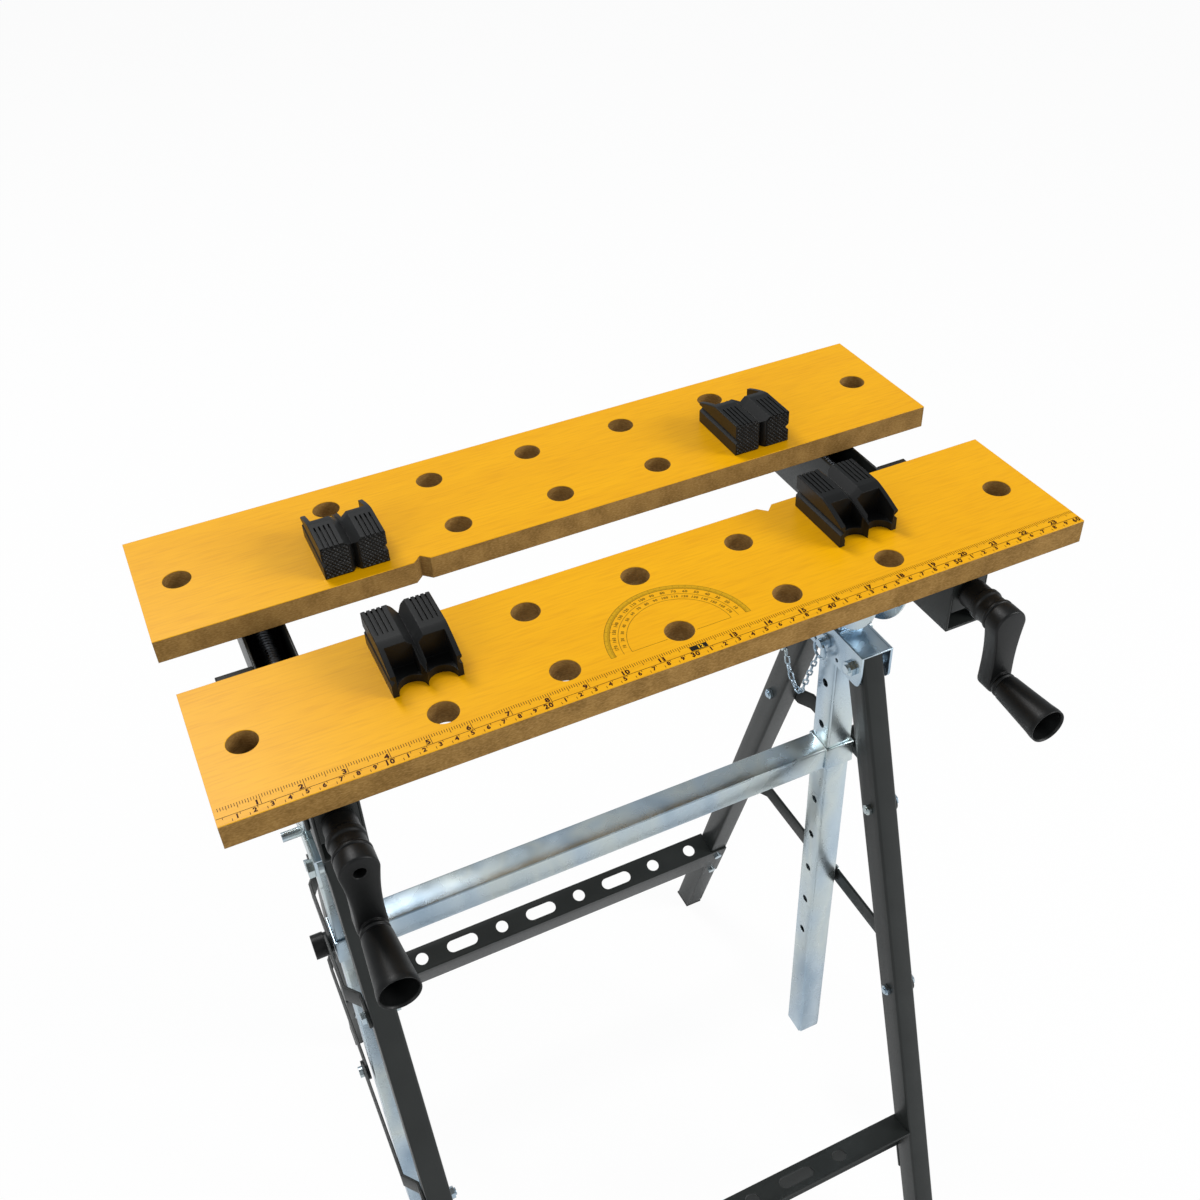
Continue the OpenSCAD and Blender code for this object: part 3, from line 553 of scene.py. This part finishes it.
def number(digits, text, place, height, turn=0.0, bold=1.0):
    # digits side by side about place, turned about it
    shapes = []
    step = digitSetup["step"] * height
    across = np.array([math.cos(turn), math.sin(turn)])
    upward = np.array([-math.sin(turn), math.cos(turn)])
    for k, figure in enumerate(text):
        points, faces = digits[figure]
        offset = (k - (len(text) - 1) / 2) * step
        x = points[:, 0] * height * bold + offset
        y = points[:, 1] * height
        flat = np.array(place)[None, :] + x[:, None] * across + y[:, None] * upward
        shapes.append((np.column_stack([flat, np.zeros(len(flat))]), faces))
    return shapes


def printOn(name, shapes, ink, low, high, lift):
    # flat shapes laid on a board, measured from the middle of its front edge
    points, faces = joinShapes(shapes)
    points = points + np.array([(low[0] + high[0]) / 2, low[1], high[2] + lift])
    placeMesh(name, points, faces, ink, "table", flat=True, merge=False)


def makeRuler(setup, digits):
    # centimetres below a line, with a short stroke at each half; inches in sixteenths above it
    low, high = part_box("front_jaw")
    half = setup["width"] / 2 - setup["endGap"]
    halfLine = setup["line"] / 2
    separator = setup["separator"]
    shapes = [bar(-half, separator - halfLine, half, separator + halfLine)]
    for k in range(0, 10 * setup["centimetres"] + 1):
        x = setup["centimetreZero"] + k * mm
        if k % 10 == 0:
            shapes.append(bar(x - halfLine, setup["tickFrom"], x + halfLine, separator))
        elif k % 5 == 0:
            tickLow, tickHigh = setup["halfTick"]
            shapes.append(bar(x - halfLine, tickLow, x + halfLine, tickHigh))
    small = setup["smallDigit"]
    for k in range(1, setup["centimetres"] + 1):
        x = setup["centimetreZero"] + k * 10 * mm
        if k % 10 == 0:
            place = (x - setup["tensShift"], setup["smallLine"])
            shapes += number(digits, str(k), place, small * setup["tensGrowth"])
        else:
            place = (x - setup["onesShift"], setup["smallLine"])
            shapes += number(digits, str(k % 10), place, small)
    top = setup["inchTickTop"]
    parts = setup["inchParts"]
    for k in range(1, setup["inches"] * parts):
        x = setup["inchZero"] + k * setup["inch"] / parts
        if x > half or x < -half:
            continue
        kind = 0 if k % parts == 0 else 1 if k % 8 == 0 else 2 if k % 4 == 0 else 3
        length = setup["inchTicksMm"][kind]
        shapes.append(bar(x - halfLine, top - length * mm, x + halfLine, top))
    for k in range(1, setup["inches"]):
        if k == setup["boxed"]:
            continue
        shift = setup["bigShiftMm"][0 if k < 10 else 1]
        place = (setup["inchZero"] + k * setup["inch"] - shift * mm, setup["bigLine"])
        shapes += number(digits, str(k), place, setup["bigDigit"], bold=setup["bigBold"])
    lift = setup["lift"]
    printOn("rulerPrint", shapes, rulerInk, low, high, lift)
    printOn("rulerBox", [bar(*setup["box"])], boxInk, low, high, 2 * lift)
    boxed = number(digits, str(setup["boxed"]), setup["boxText"], setup["boxDigit"])
    printOn("rulerBoxDigits", boxed, yellowInk, low, high, 3 * lift)


def makeProtractor(setup, digits):
    # a pale band edged by two arcs, a stroke for each degree, two rows of numbers inside it
    low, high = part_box("front_jaw")
    outer, band, second, inner = setup["radii"]
    baseline = setup["baseline"]
    centre = np.array([0.0, baseline])
    line = setup["line"]
    lift = rulerSetup["lift"]
    printOn("protractorBand", [arcBand(centre, band, outer)], bandInk, low, high, lift / 2)
    shapes = [arcBand(centre, r - line / 2, r + line / 2) for r in setup["radii"]]
    reach = setup["holeReach"]
    shapes.append(bar(-inner, baseline - line / 2, -reach, baseline + line / 2))
    shapes.append(bar(reach, baseline - line / 2, inner, baseline + line / 2))
    ten, five, one = setup["strokesMm"]
    for degree in range(0, 181):
        angle = math.radians(degree)
        direction = np.array([math.cos(angle), math.sin(angle)])
        length = ten if degree % 10 == 0 else five if degree % 5 == 0 else one
        onBand = centre + direction * band
        onArc = centre + direction * (band + length * mm)
        shapes.append(stroke(onBand, onArc, line * setup["strokeShare"]))
        if degree % 10 == 0 and 0 < degree < 180:
            within = centre + direction * (band - setup["tenStroke"])
            shapes.append(stroke(within, onBand, line * setup["tenShare"]))
            turn = angle - math.pi / 2
            digit = setup["digit"]
            place = centre + direction * (band - setup["outerText"])
            shapes += number(digits, str(degree), place, digit, turn)
            place = centre + direction * (second - setup["innerText"])
            shapes += number(digits, str(180 - degree), place, digit * setup["innerShrink"], turn)
    printOn("protractorPrint", shapes, protractorInk, low, high, lift)


digitShapes = makeDigits(digitSetup)
makeRuler(rulerSetup, digitShapes)
makeProtractor(protractorSetup, digitShapes)
print("ruler and protractor printed")

# Bench dogs

dogSetup = {
    "halfWidth": 23 * mm,
    "front": 19.2 * mm,
    "back": 38.8 * mm,
    "height": 26 * mm,
    "backHeight": 17 * mm,
    "slopeFrom": -12.9 * mm,
    "base": 0.3 * mm,
    "floor": 6 * mm,
    "groove": 6 * mm,
    "slot": 3.0 * mm,
    "grooveSlope": 0.95,
    "slopePower": 1.25,
    "slotFlare": 1.5,
    "border": 0.5 * mm,
    "hair": 0.04 * mm,
    "rows": 34,
    "columns": 26,
    # the even columns' distance from the middle and from the side
    "columnEnds": (1 * mm, 0.8 * mm),
    "ribs": {"from": 6.9 * mm, "pitch": 3.3 * mm, "width": 2.25 * mm, "depth": 2.3 * mm,
             "back": -8 * mm, "count": 5},
    "pocket": {"inner": 2.2 * mm, "outer": 19.6 * mm, "front": -19.5 * mm},
    "prong": {"inner": 19 * mm, "cut": 9 * mm},
    "sideGroove": {"low": 9.8 * mm, "high": 15.2 * mm, "depth": 2.5 * mm, "bottom": 0.6 * mm},
    "knurl": {"height": 0.9 * mm, "pitch": 3.3 * mm, "cell": 0.42 * mm, "flat": 1.4,
              "sink": 0.1 * mm, "aside": 0.3 * mm, "below": 0.8 * mm, "above": 0.9 * mm},
    "peg": {"radius": 9.9 * mm, "length": 15 * mm, "steps": 40},
}


def dogColumns(setup):
    # stations across the dog, doubled by a hair wherever the top steps up or down
    hair = setup["hair"]
    ribs = setup["ribs"]
    half = setup["halfWidth"]
    stations = [0, setup["groove"], half, half - setup["border"]]
    for k in range(ribs["count"]):
        left = ribs["from"] + k * ribs["pitch"]
        for edge in (left, left + ribs["width"]):
            stations += [edge - hair, edge + hair]
    for edge in (setup["pocket"]["inner"], setup["pocket"]["outer"]):
        stations += [edge - hair, edge + hair]
    inner, outer = setup["columnEnds"]
    stations += list(np.linspace(inner, half - outer, setup["columns"]))
    stations = [x for x in stations if 0 <= x <= half]
    return np.unique(np.round(np.array([-x for x in stations] + stations), 7))


def dogRows(setup):
    # stations from the back edge to the front, doubled where the pockets and ribs begin
    hair = setup["hair"]
    stations = list(np.linspace(-setup["back"], setup["front"], setup["rows"]))
    stations += [setup["slopeFrom"], setup["front"] - setup["border"],
                 -setup["back"] + setup["border"]]
    for edge in (setup["pocket"]["front"], setup["ribs"]["back"]):
        stations += [edge - hair, edge + hair]
    return np.unique(np.round(np.array(stations), 7))


def dogTop(setup, x, y):
    # height of the top: a deck that slopes to the back, less the V groove along the middle,
    # the cuts between the ribs, the two pockets and a rounding along the front and the sides
    across = np.abs(x)
    slope = np.clip((setup["slopeFrom"] - y) / (setup["back"] + setup["slopeFrom"]), 0, 1)
    deck = setup["height"] - (setup["height"] - setup["backHeight"]) * slope ** setup["slopePower"]
    z = deck - np.clip(setup["groove"] - across, 0, None) * setup["grooveSlope"]
    ribs = setup["ribs"]
    place = across - ribs["from"]
    within = (place > 0) & (place < ribs["count"] * ribs["pitch"] - (ribs["pitch"] - ribs["width"]))
    cut = within & (np.mod(place, ribs["pitch"]) > ribs["width"]) & (y > ribs["back"])
    z = np.where(cut, z - ribs["depth"], z)
    pocket = setup["pocket"]
    hollow = (across > pocket["inner"]) & (across < pocket["outer"]) & (y < pocket["front"])
    z = np.where(hollow, setup["floor"], z)
    edge = np.minimum(setup["halfWidth"] - across, setup["front"] - y)
    border = setup["border"]
    return z - border * np.clip(1 - edge / border, 0, 1) ** 2


def dogDip(setup, z):
    # depth of the groove along the dog's side at height z: flat bottomed, with sloping flanks
    groove = setup["sideGroove"]
    middle = (groove["low"] + groove["high"]) / 2
    bottom = groove["bottom"]
    flank = (groove["high"] - groove["low"]) / 2 - bottom
    return groove["depth"] * np.clip((flank + bottom - np.abs(z - middle)) / flank, 0, 1)


def dogKnurl(setup, hand):
    # diamond knurl on one half of the front: a grid whose height is the smaller of two
    # crossed triangle waves, cut flat and sunk at its border; its outer side follows the side
    # groove and its top the V groove
    knurl = setup["knurl"]
    cell = knurl["cell"]
    inner = setup["slot"] + knurl["aside"]
    low, high = knurl["below"], setup["height"] - knurl["above"]
    outer = setup["halfWidth"] - setup["border"]
    share, z = np.meshgrid(np.linspace(0, 1, int((outer - inner) / cell)),
                           np.linspace(low, high, int((high - low) / cell)))
    x = inner + share * (outer - dogDip(setup, z) - inner)
    highest = high - (setup["groove"] - x) * setup["grooveSlope"]
    z = np.where(x < setup["groove"], np.minimum(z, highest), z)
    one = np.abs(((x + z) / knurl["pitch"]) % 1 * 2 - 1)
    two = np.abs(((x - z) / knurl["pitch"]) % 1 * 2 - 1)
    height = knurl["height"] * np.minimum(1, knurl["flat"] * np.minimum(one, two))
    height[[0, -1]] = -knurl["sink"]
    height[:, [0, -1]] = -knurl["sink"]
    points = np.stack([hand * x, setup["front"] - knurl["height"] + height, z], -1).reshape(-1, 3)
    faces = gridFaces(*x.shape, wrapColumns=False)
    return points, faces if hand > 0 else [f[::-1] for f in faces]


def dogBody(setup):
    # the top as a grid between a hollowed back edge and a notched front edge, with a skirt
    # below it that dips inwards at the side groove
    columns = dogColumns(setup)
    stations = dogRows(setup)[:, None]
    across = np.abs(columns)
    prong = setup["prong"]
    halfArch = prong["inner"] / 2
    arch = np.sqrt(np.clip(1 - ((across - halfArch) / halfArch) ** 2, 0, 1))
    back = -setup["back"] + np.where(across < prong["inner"], prong["cut"] * arch, 0)
    notch = setup["slotFlare"] * np.clip(setup["slot"] - across, 0, None)
    front = setup["front"] - setup["knurl"]["height"] - notch
    # rows behind the pockets' front wall crowd towards the back edge, the others stay straight
    wall = setup["pocket"]["front"]
    behind = wall + (back - wall) * (stations - wall) / (-setup["back"] - wall)
    before = wall + (front - wall) * (stations - wall) / (setup["front"] - wall)
    x = np.broadcast_to(columns, (len(stations), len(columns)))
    y = np.where(stations < wall, behind, before)
    z = dogTop(setup, x, y)
    points = np.stack([x, y, z], -1)
    rows, count = x.shape
    top = (points.reshape(-1, 3), gridFaces(rows, count, wrapColumns=False))
    loop = np.concatenate([points[0, :-1], points[:-1, -1], points[-1, :0:-1], points[:0:-1, 0]])
    groove = setup["sideGroove"]
    middle = (groove["low"] + groove["high"]) / 2
    bottom = groove["bottom"]
    layers = []
    for level in (setup["height"], groove["high"], middle + bottom, middle - bottom,
                  groove["low"], setup["base"]):
        widest = setup["halfWidth"] - np.where(loop[:, 2] < groove["high"], 0, dogDip(setup, level))
        x = np.sign(loop[:, 0]) * np.minimum(np.abs(loop[:, 0]), widest)
        layers.append(np.stack([x, loop[:, 1], np.minimum(loop[:, 2], level)], -1))
    skirt = np.concatenate(layers)
    faces = gridFaces(len(layers), len(loop))
    ground = points.copy()
    ground[:, :, 2] = setup["base"]
    underside = (ground.reshape(-1, 3), gridFaces(rows, count, wrapColumns=False))
    return joinShapes([top, (skirt, faces), underside])


def makeDog(setup, name, body):
    low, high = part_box(name)
    facing = -1.0 if name.startswith("dog_rear") else 1.0
    front = high[1] if facing > 0 else low[1]
    place = np.array([(low[0] + high[0]) / 2, front - facing * setup["front"],
                      high[2] - setup["height"]])
    peg = setup["peg"]
    outline = roundedProfile([(0, -peg["length"]), (peg["radius"], -peg["length"]),
                              (peg["radius"], setup["base"]), (0, setup["base"])])
    turned, pegFaces = revolve(outline, (0, 0, 0), peg["steps"])
    # the peg is turned round Y and stands along Z
    turned = turned[:, [0, 2, 1]]
    points, faces = joinShapes([
        dogBody(setup), dogKnurl(setup, -1), dogKnurl(setup, 1), (turned, pegFaces)])
    points = points * np.array([facing, facing, 1]) + place
    plastic = finishes["black_plastic"]
    dog = placeMesh(name + "Body", points, faces, plastic, body, sharp=30)
    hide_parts(name)


for name, body in (("dog_front_left", "front_left_dog"), ("dog_front_right", "front_right_dog"),
                   ("dog_rear_left", "rear_left_dog"), ("dog_rear_right", "rear_right_dog")):
    makeDog(dogSetup, name, body)
print("bench dogs made")

# Cranks, grips and screws

crankSetup = {
    "hubRadius": 12.5 * mm,
    "armThickness": 13 * mm,
    "armEndRadius": 10 * mm,
    "armLength": 50 * mm,
    "armGap": 2 * mm,
    "edge": 1.6 * mm,
    "bore": 4.0 * mm,
    "boreDepth": 10 * mm,
    "spindle": 5 * mm,
    "gripRadius": 10 * mm,
    "gripMouth": 13.5 * mm,
    "gripHollow": 11.7 * mm,
    "hollowDepth": 34 * mm,
    "play": 0.15 * mm,
}
screwSetup = {
    "radius": 6 * mm, "root": 4.9 * mm, "pitch": 3.0 * mm, "steps": 24, "perTurn": 10,
    # how steep the flanks are and how wide the root is
    "steep": 2.4, "rootShare": 0.7,
}


def capsuleOutline(topRadius, endRadius, length, waist=0.86, steps=28):
    # outline of the arm seen along Y: an arc round the hub, one round the grip's end,
    # joined by sides drawn in a little at the waist; points run once round
    lean = math.asin((topRadius - endRadius) / length)
    upper = np.linspace(-lean, math.pi + lean, steps)
    lower = np.linspace(math.pi + lean, 2 * math.pi - lean, steps)
    top = np.stack([topRadius * np.cos(upper), topRadius * np.sin(upper)], -1)
    end = np.stack([endRadius * np.cos(lower), -length + endRadius * np.sin(lower)], -1)
    share = np.linspace(0, 1, 10)[1:-1]
    pull = 1 - (1 - waist) * np.sin(np.pi * share)
    left = top[-1] + (end[0] - top[-1]) * share[:, None]
    right = end[-1] + (top[0] - end[-1]) * share[:, None]
    left[:, 0] *= pull
    right[:, 0] *= pull
    return np.concatenate([top, left, end, right])


def roundedSlab(outline, centre, front, back, edge, bore=0.0, boreDepth=0.0, steps=4):
    # the outline carried from front to back along Y, drawn in by a quarter round at both ends,
    # with a round blind hole in its front where a bore is given
    following = np.roll(outline, -1, 0) - np.roll(outline, 1, 0)
    outward = np.stack([following[:, 1], -following[:, 0]], -1)
    outward /= np.linalg.norm(outward, axis=1)[:, None]
    angle = np.linspace(0, np.pi / 2, steps + 1)
    inset = edge * (1 - np.sin(angle))
    depth = edge * (1 - np.cos(angle))
    layers = [(front + d, s) for d, s in zip(depth, inset)]
    layers += [(back - d, s) for d, s in zip(depth[::-1], inset[::-1])]
    points = np.concatenate([
        np.column_stack([
            centre[0] + outline[:, 0] - outward[:, 0] * s,
            np.full(len(outline), y),
            centre[2] + outline[:, 1] - outward[:, 1] * s,
        ]) for y, s in layers
    ])
    count = len(outline)
    faces = gridFaces(len(layers), count)
    if bore:
        # rings at the outline's own angles, so that the front joins them one to one
        turn = np.arctan2(outline[:, 1], outline[:, 0])
        start = len(points)
        chamfer = 0.4 * mm
        rings = [(bore + chamfer, front), (bore, front + chamfer), (bore, front + boreDepth)]
        points = np.concatenate([points] + [
            np.column_stack([
                centre[0] + r * np.cos(turn),
                np.full(count, y),
                centre[2] + r * np.sin(turn),
            ]) for r, y in rings
        ])
        faces += [[k, (k + 1) % count, start + (k + 1) % count, start + k] for k in range(count)]
        faces += gridFaces(len(rings), count, start=start)
        faces.append(list(range(start + 2 * count, start + 3 * count)))
    else:
        faces.append(list(range(count)))
    faces.append(list(range((len(layers) - 1) * count, len(layers) * count))[::-1])
    return points, faces


def hubProfile(r, back, front):
    # from the screw's end to the arm: the hub is stepped by two shallow collars
    reach = back - front
    return roundedProfile([
        (0.0, back), (r - 2.6 * mm, back), (r - 2.6 * mm, back - 2 * mm),
        (r - 1.7 * mm, back - 3 * mm), (r - 1.5 * mm, back - 0.45 * reach),
        (r - 0.3 * mm, back - 0.5 * reach),
        (r - 0.3 * mm, back - 0.62 * reach), (r - 1.3 * mm, back - 0.67 * reach),
        (r - 1.2 * mm, front + 3.5 * mm), (r, front + 2.4 * mm), (r, front + 0.5 * mm),
        (r - 1 * mm, front), (r - 1 * mm, front - 1 * mm), (0.0, front - 1 * mm)], 0.5 * mm)


def spindleProfile(s, back, front):
    # a collar against the arm and the thin spindle that runs inside the grip
    return roundedProfile([
        (0.0, back + 4 * mm), (s + 3.5 * mm, back + 4 * mm), (s + 3.5 * mm, back - 1.4 * mm),
        (s, back - 1.4 * mm), (s, front), (0.0, front)], 0.6 * mm)


def gripProfile(setup, near, far, hollowEnd):
    # a collar near the arm, a flaring sleeve, and a hollow in its mouth
    bore = setup["spindle"] + setup["play"]
    g = setup["gripRadius"]
    m = setup["gripMouth"]
    h = setup["gripHollow"]
    span = near - far
    return roundedProfile([
        (bore, near), (g - 0.6 * mm, near), (g - 0.2 * mm, near - 2.4 * mm),
        (g - 1.3 * mm, near - 3.0 * mm), (g - 1.3 * mm, near - 4.2 * mm), (g, near - 5.0 * mm),
        (g + 0.25 * (m - g), near - 0.35 * span), (m - 0.9 * mm, near - 0.8 * span),
        (m - 0.1 * mm, near - 0.93 * span), (m - 0.3 * mm, far),
        (h + 0.9 * mm, far), (h, far + 1.2 * mm), (g - 2.2 * mm, hollowEnd), (bore, hollowEnd),
        (bore, near)], 1.0 * mm)


def makeCrank(setup, side):
    name = "crank_" + side
    gripName = "crank_grip_" + side
    low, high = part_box(name)
    gripLow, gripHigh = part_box(gripName)
    r = setup["hubRadius"]
    axis = ((low[0] + high[0]) / 2, 0.0, high[2] - r)
    gripAxis = (axis[0], 0.0, axis[2] - setup["armLength"])
    armFront = gripHigh[1] + setup["armGap"]
    armBack = armFront + setup["armThickness"]
    hollowEnd = gripLow[1] + setup["hollowDepth"]
    outline = capsuleOutline(r, setup["armEndRadius"], setup["armLength"])
    # only the left crank's hub is bored in the photograph
    bore = setup["bore"] if side == "left" else 0.0
    points, faces = joinShapes([
        revolve(hubProfile(r, high[1], armBack), axis),
        roundedSlab(outline, axis, armFront, armBack, setup["edge"], bore, setup["boreDepth"]),
        revolve(spindleProfile(setup["spindle"], armFront, hollowEnd + 1 * mm), gripAxis),
    ])
    plastic = finishes["black_plastic"]
    crank = placeMesh(name + "Body", points, faces, plastic, side + "_crank")
    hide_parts(name)
    points, faces = revolve(gripProfile(setup, gripHigh[1], gripLow[1], hollowEnd), gripAxis)
    grip = placeMesh(gripName + "Sleeve", points, faces, plastic, side + "_grip")
    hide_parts(gripName)


def makeScrew(setup, side):
    # thread: radius follows a trapezium wave of place along the axis less the turn
    name = "screw_" + side
    low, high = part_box(name)
    turns = (high[1] - low[1]) / setup["pitch"]
    rows = int(turns * setup["perTurn"])
    y = np.linspace(low[1], high[1], rows)[:, None]
    turn = np.linspace(0, 2 * np.pi, setup["steps"], endpoint=False)[None, :]
    wave = np.abs(((y / setup["pitch"] - turn / (2 * np.pi)) % 1) * 2 - 1)
    crest = np.clip(wave * setup["steep"] - setup["rootShare"], 0, 1)
    radius = setup["root"] + (setup["radius"] - setup["root"]) * crest
    # both ends closed
    radius[0] = 0
    radius[-1] = 0
    x = (low[0] + high[0]) / 2 + radius * np.cos(turn)
    z = (low[2] + high[2]) / 2 + radius * np.sin(turn)
    points = np.stack([x, np.broadcast_to(y, x.shape), z], -1).reshape(-1, 3)
    faces = gridFaces(rows, setup["steps"])
    screw = placeMesh(name + "Thread", points, faces, finishes["screw_steel"],
                      side + "_crank", sharp=30)
    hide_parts(name)


for side in ("left", "right"):
    makeCrank(crankSetup, side)
    makeScrew(screwSetup, side)
print("cranks, grips and screws made")

# Chains

chainSetup = {
    # mm behind and below the lock pin's axis, as in the part
    "route": [(4, 19.1), (13, 46), (26, 79), (44, 67), (52, 47)],
    "linkLength": 9.4 * mm,
    "linkWidth": 5.6 * mm,
    "wire": 0.75 * mm,
    "play": 2.5,
    # from the chain's box forward to the pin's axis
    "ahead": 2.2 * mm,
    "pinHeight": 665 * mm,
    "tilts": (-50, 35),
    # share of the links on the pin's side of the lowest one
    "lowest": 0.58,
    # a distance back from a chain's end along Y; the point worked out with it is not used further
    "yield": 14 * mm,
}


def smoothRoute(points, count):
    # Catmull-Rom curve through the points, resampled at even distances
    points = np.asarray(points, float)
    padded = np.concatenate([[2 * points[0] - points[1]], points, [2 * points[-1] - points[-2]]])
    t = np.linspace(0, 1, 24, endpoint=False)[:, None]
    pieces = []
    for a, b, c, d in zip(padded[:-3], padded[1:-2], padded[2:-1], padded[3:]):
        square = (2 * a - 5 * b + 4 * c - d) * t ** 2
        cube = (3 * b - a - 3 * c + d) * t ** 3
        pieces.append(0.5 * (2 * b + (c - a) * t + square + cube))
    curve = np.concatenate(pieces + [points[-1:]])
    distance = np.concatenate([[0], np.cumsum(np.linalg.norm(np.diff(curve, axis=0), axis=1))])
    even = np.linspace(0, distance[-1], count)
    line = np.stack([np.interp(even, distance, curve[:, k]) for k in range(curve.shape[1])], -1)
    return line, distance[-1]


def chainLink(setup, centre, along, across):
    # oval ring: a stadium path of length and width, with a round wire carried round it
    steps, tubeSteps = 24, 8
    around = np.linspace(0, 2 * np.pi, steps, endpoint=False)
    tube = np.linspace(0, 2 * np.pi, tubeSteps, endpoint=False)
    halfLength = setup["linkLength"] / 2 - setup["wire"]
    halfWidth = setup["linkWidth"] / 2 - setup["wire"]
    straight = halfLength - halfWidth
    u = halfWidth * np.cos(around) + np.sign(np.cos(around)) * straight
    v = halfWidth * np.sin(around)
    outward = np.stack([np.cos(around), np.sin(around)], -1)
    along = along / np.linalg.norm(along)
    normal = np.cross(along, across)
    path = centre + u[:, None] * along + v[:, None] * across
    side = outward[:, :1] * along + outward[:, 1:] * across
    inPlane = np.cos(tube)[None, :, None] * side[:, None, :]
    offPlane = np.sin(tube)[None, :, None] * normal[None, None, :]
    ring = path[:, None, :] + setup["wire"] * (inPlane + offPlane)
    return ring.reshape(-1, 3), gridFaces(steps, tubeSteps, wrapRows=True)


def makeChain(setup, side):
    # links along the route, every other one turned across the last
    name = "chain_" + side
    low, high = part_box(name)
    behind = low[1] - setup["ahead"]
    route = [(0.0, behind + b * mm, setup["pinHeight"] - d * mm) for b, d in setup["route"]]
    pitch = setup["linkLength"] - setup["play"] * setup["wire"]
    _, length = smoothRoute(route, 40)
    count = int(round(length / pitch))
    line, _ = smoothRoute(route, count + 1)
    line[:, 0] = (low[0] + high[0]) / 2
    flatSide = np.array([1.0, 0.0, 0.0])
    shapes = []
    for k in range(count):
        along = line[k + 1] - line[k]
        unit = along / np.linalg.norm(along)
        upright = np.cross(unit, flatSide)
        tilt = math.radians(setup["tilts"][k % 2])
        across = math.cos(tilt) * flatSide + math.sin(tilt) * upright
        shapes.append(chainLink(setup, (line[k] + line[k + 1]) / 2, unit, across))
    # split at the lowest link into two meshes: the links on the pin's side and those on the leg's
    # side
    split = int(round(count * setup["lowest"]))
    start, middle, end = line[0], line[split], line[-1]
    beforeEnd = (end[0], end[1] - setup["yield"], end[2])
    parts = [("PinLinks", shapes[:split], (side + "_pin", "head"), start, middle),
             ("LegLinks", shapes[split:], ("head", "rear_frame"), beforeEnd, end)]
    zinc = finishes["zinc_plated_steel"]
    for label, links, bodies, first, last in parts:
        points, faces = joinShapes(links)
        chain = placeMesh(name + label, points, faces, zinc, None)
        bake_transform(chain)
        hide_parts(name)


for side in ("left", "right"):
    makeChain(chainSetup, side)
print("chains made")

# Floor, world and lamps

studioSetup = {
    "floorSize": 14.0,
    "paper": (0.9, 0.9, 0.9, 1),
    # share of the floor's white that goes straight to the eye
    "glow": 0.94,
    "sky": (0.93, 0.97, 1.0, 1),
    "worldStrength": 0.42,
    "lamps": {
        # name: place, aim, size, watts
        "backBox": ((-0.8, 2.2, 3.7), (-0.3, -0.1, 0.85), 1.4, 72),
        "rightBox": ((2.4, -1.9, 2.2), (0.1, 0.0, 0.6), 1.4, 66),
        "leftBox": ((-2.4, -1.8, 1.9), (0.0, 0.0, 0.6), 1.8, 20),
    },
}


def makeFloor(setup):
    # white paper sweep: lit and shaded like paper, with part of its white given straight to the eye
    half = setup["floorSize"] / 2
    points = [(-half, -half, 0), (half, -half, 0), (half, half, 0), (-half, half, 0)]
    mesh = bpy.data.meshes.new("studioFloor")
    mesh.from_pydata(points, [], [(0, 1, 2, 3)])
    floor = bpy.data.objects.new("studioFloor", mesh)
    bpy.context.scene.collection.objects.link(floor)
    material = bpy.data.materials.new("whitePaperSweep")
    material.use_nodes = True
    tree = material.node_tree
    tree.nodes.clear()
    output = addNode(tree, "ShaderNodeOutputMaterial")
    paper = addNode(tree, "ShaderNodeBsdfDiffuse", inputs={"Color": setup["paper"]})
    glow = addNode(tree, "ShaderNodeEmission", inputs={"Color": (1, 1, 1, 1), "Strength": 1.0})
    rays = addNode(tree, "ShaderNodeLightPath")
    seen = addNode(tree, "ShaderNodeMath", settings={"operation": "MULTIPLY"},
                   inputs={1: setup["glow"]}, links={0: rays.outputs["Is Camera Ray"]})
    mix = addNode(tree, "ShaderNodeMixShader",
                  links={0: seen.outputs[0], 1: paper.outputs[0], 2: glow.outputs[0]})
    tree.links.new(mix.outputs[0], output.inputs["Surface"])
    mesh.materials.append(material)


def makeWorld(setup):
    # pale sky that lights the bench; the camera itself sees plain white
    world = bpy.data.worlds.new("studioWorld")
    world.use_nodes = True
    tree = world.node_tree
    tree.nodes.clear()
    output = addNode(tree, "ShaderNodeOutputWorld")
    rays = addNode(tree, "ShaderNodeLightPath")
    soft = addNode(tree, "ShaderNodeBackground",
                   inputs={"Color": setup["sky"], "Strength": setup["worldStrength"]})
    seen = addNode(tree, "ShaderNodeBackground", inputs={"Color": (1, 1, 1, 1), "Strength": 1.0})
    mix = addNode(tree, "ShaderNodeMixShader",
                  links={0: rays.outputs["Is Camera Ray"], 1: soft.outputs[0], 2: seen.outputs[0]})
    tree.links.new(mix.outputs[0], output.inputs["Surface"])
    bpy.context.scene.world = world


def makeLamps(setup):
    # square soft boxes
    for name, (place, aim, size, watts) in setup["lamps"].items():
        data = bpy.data.lights.new(name, "AREA")
        data.shape = "SQUARE"
        data.size = size
        data.energy = watts
        lamp = bpy.data.objects.new(name, data)
        lamp.location = place
        lamp.rotation_euler = (Vector(aim) - Vector(place)).to_track_quat("-Z", "Y").to_euler()
        bpy.context.scene.collection.objects.link(lamp)


makeFloor(studioSetup)
makeWorld(studioSetup)
makeLamps(studioSetup)
print("studio lit")
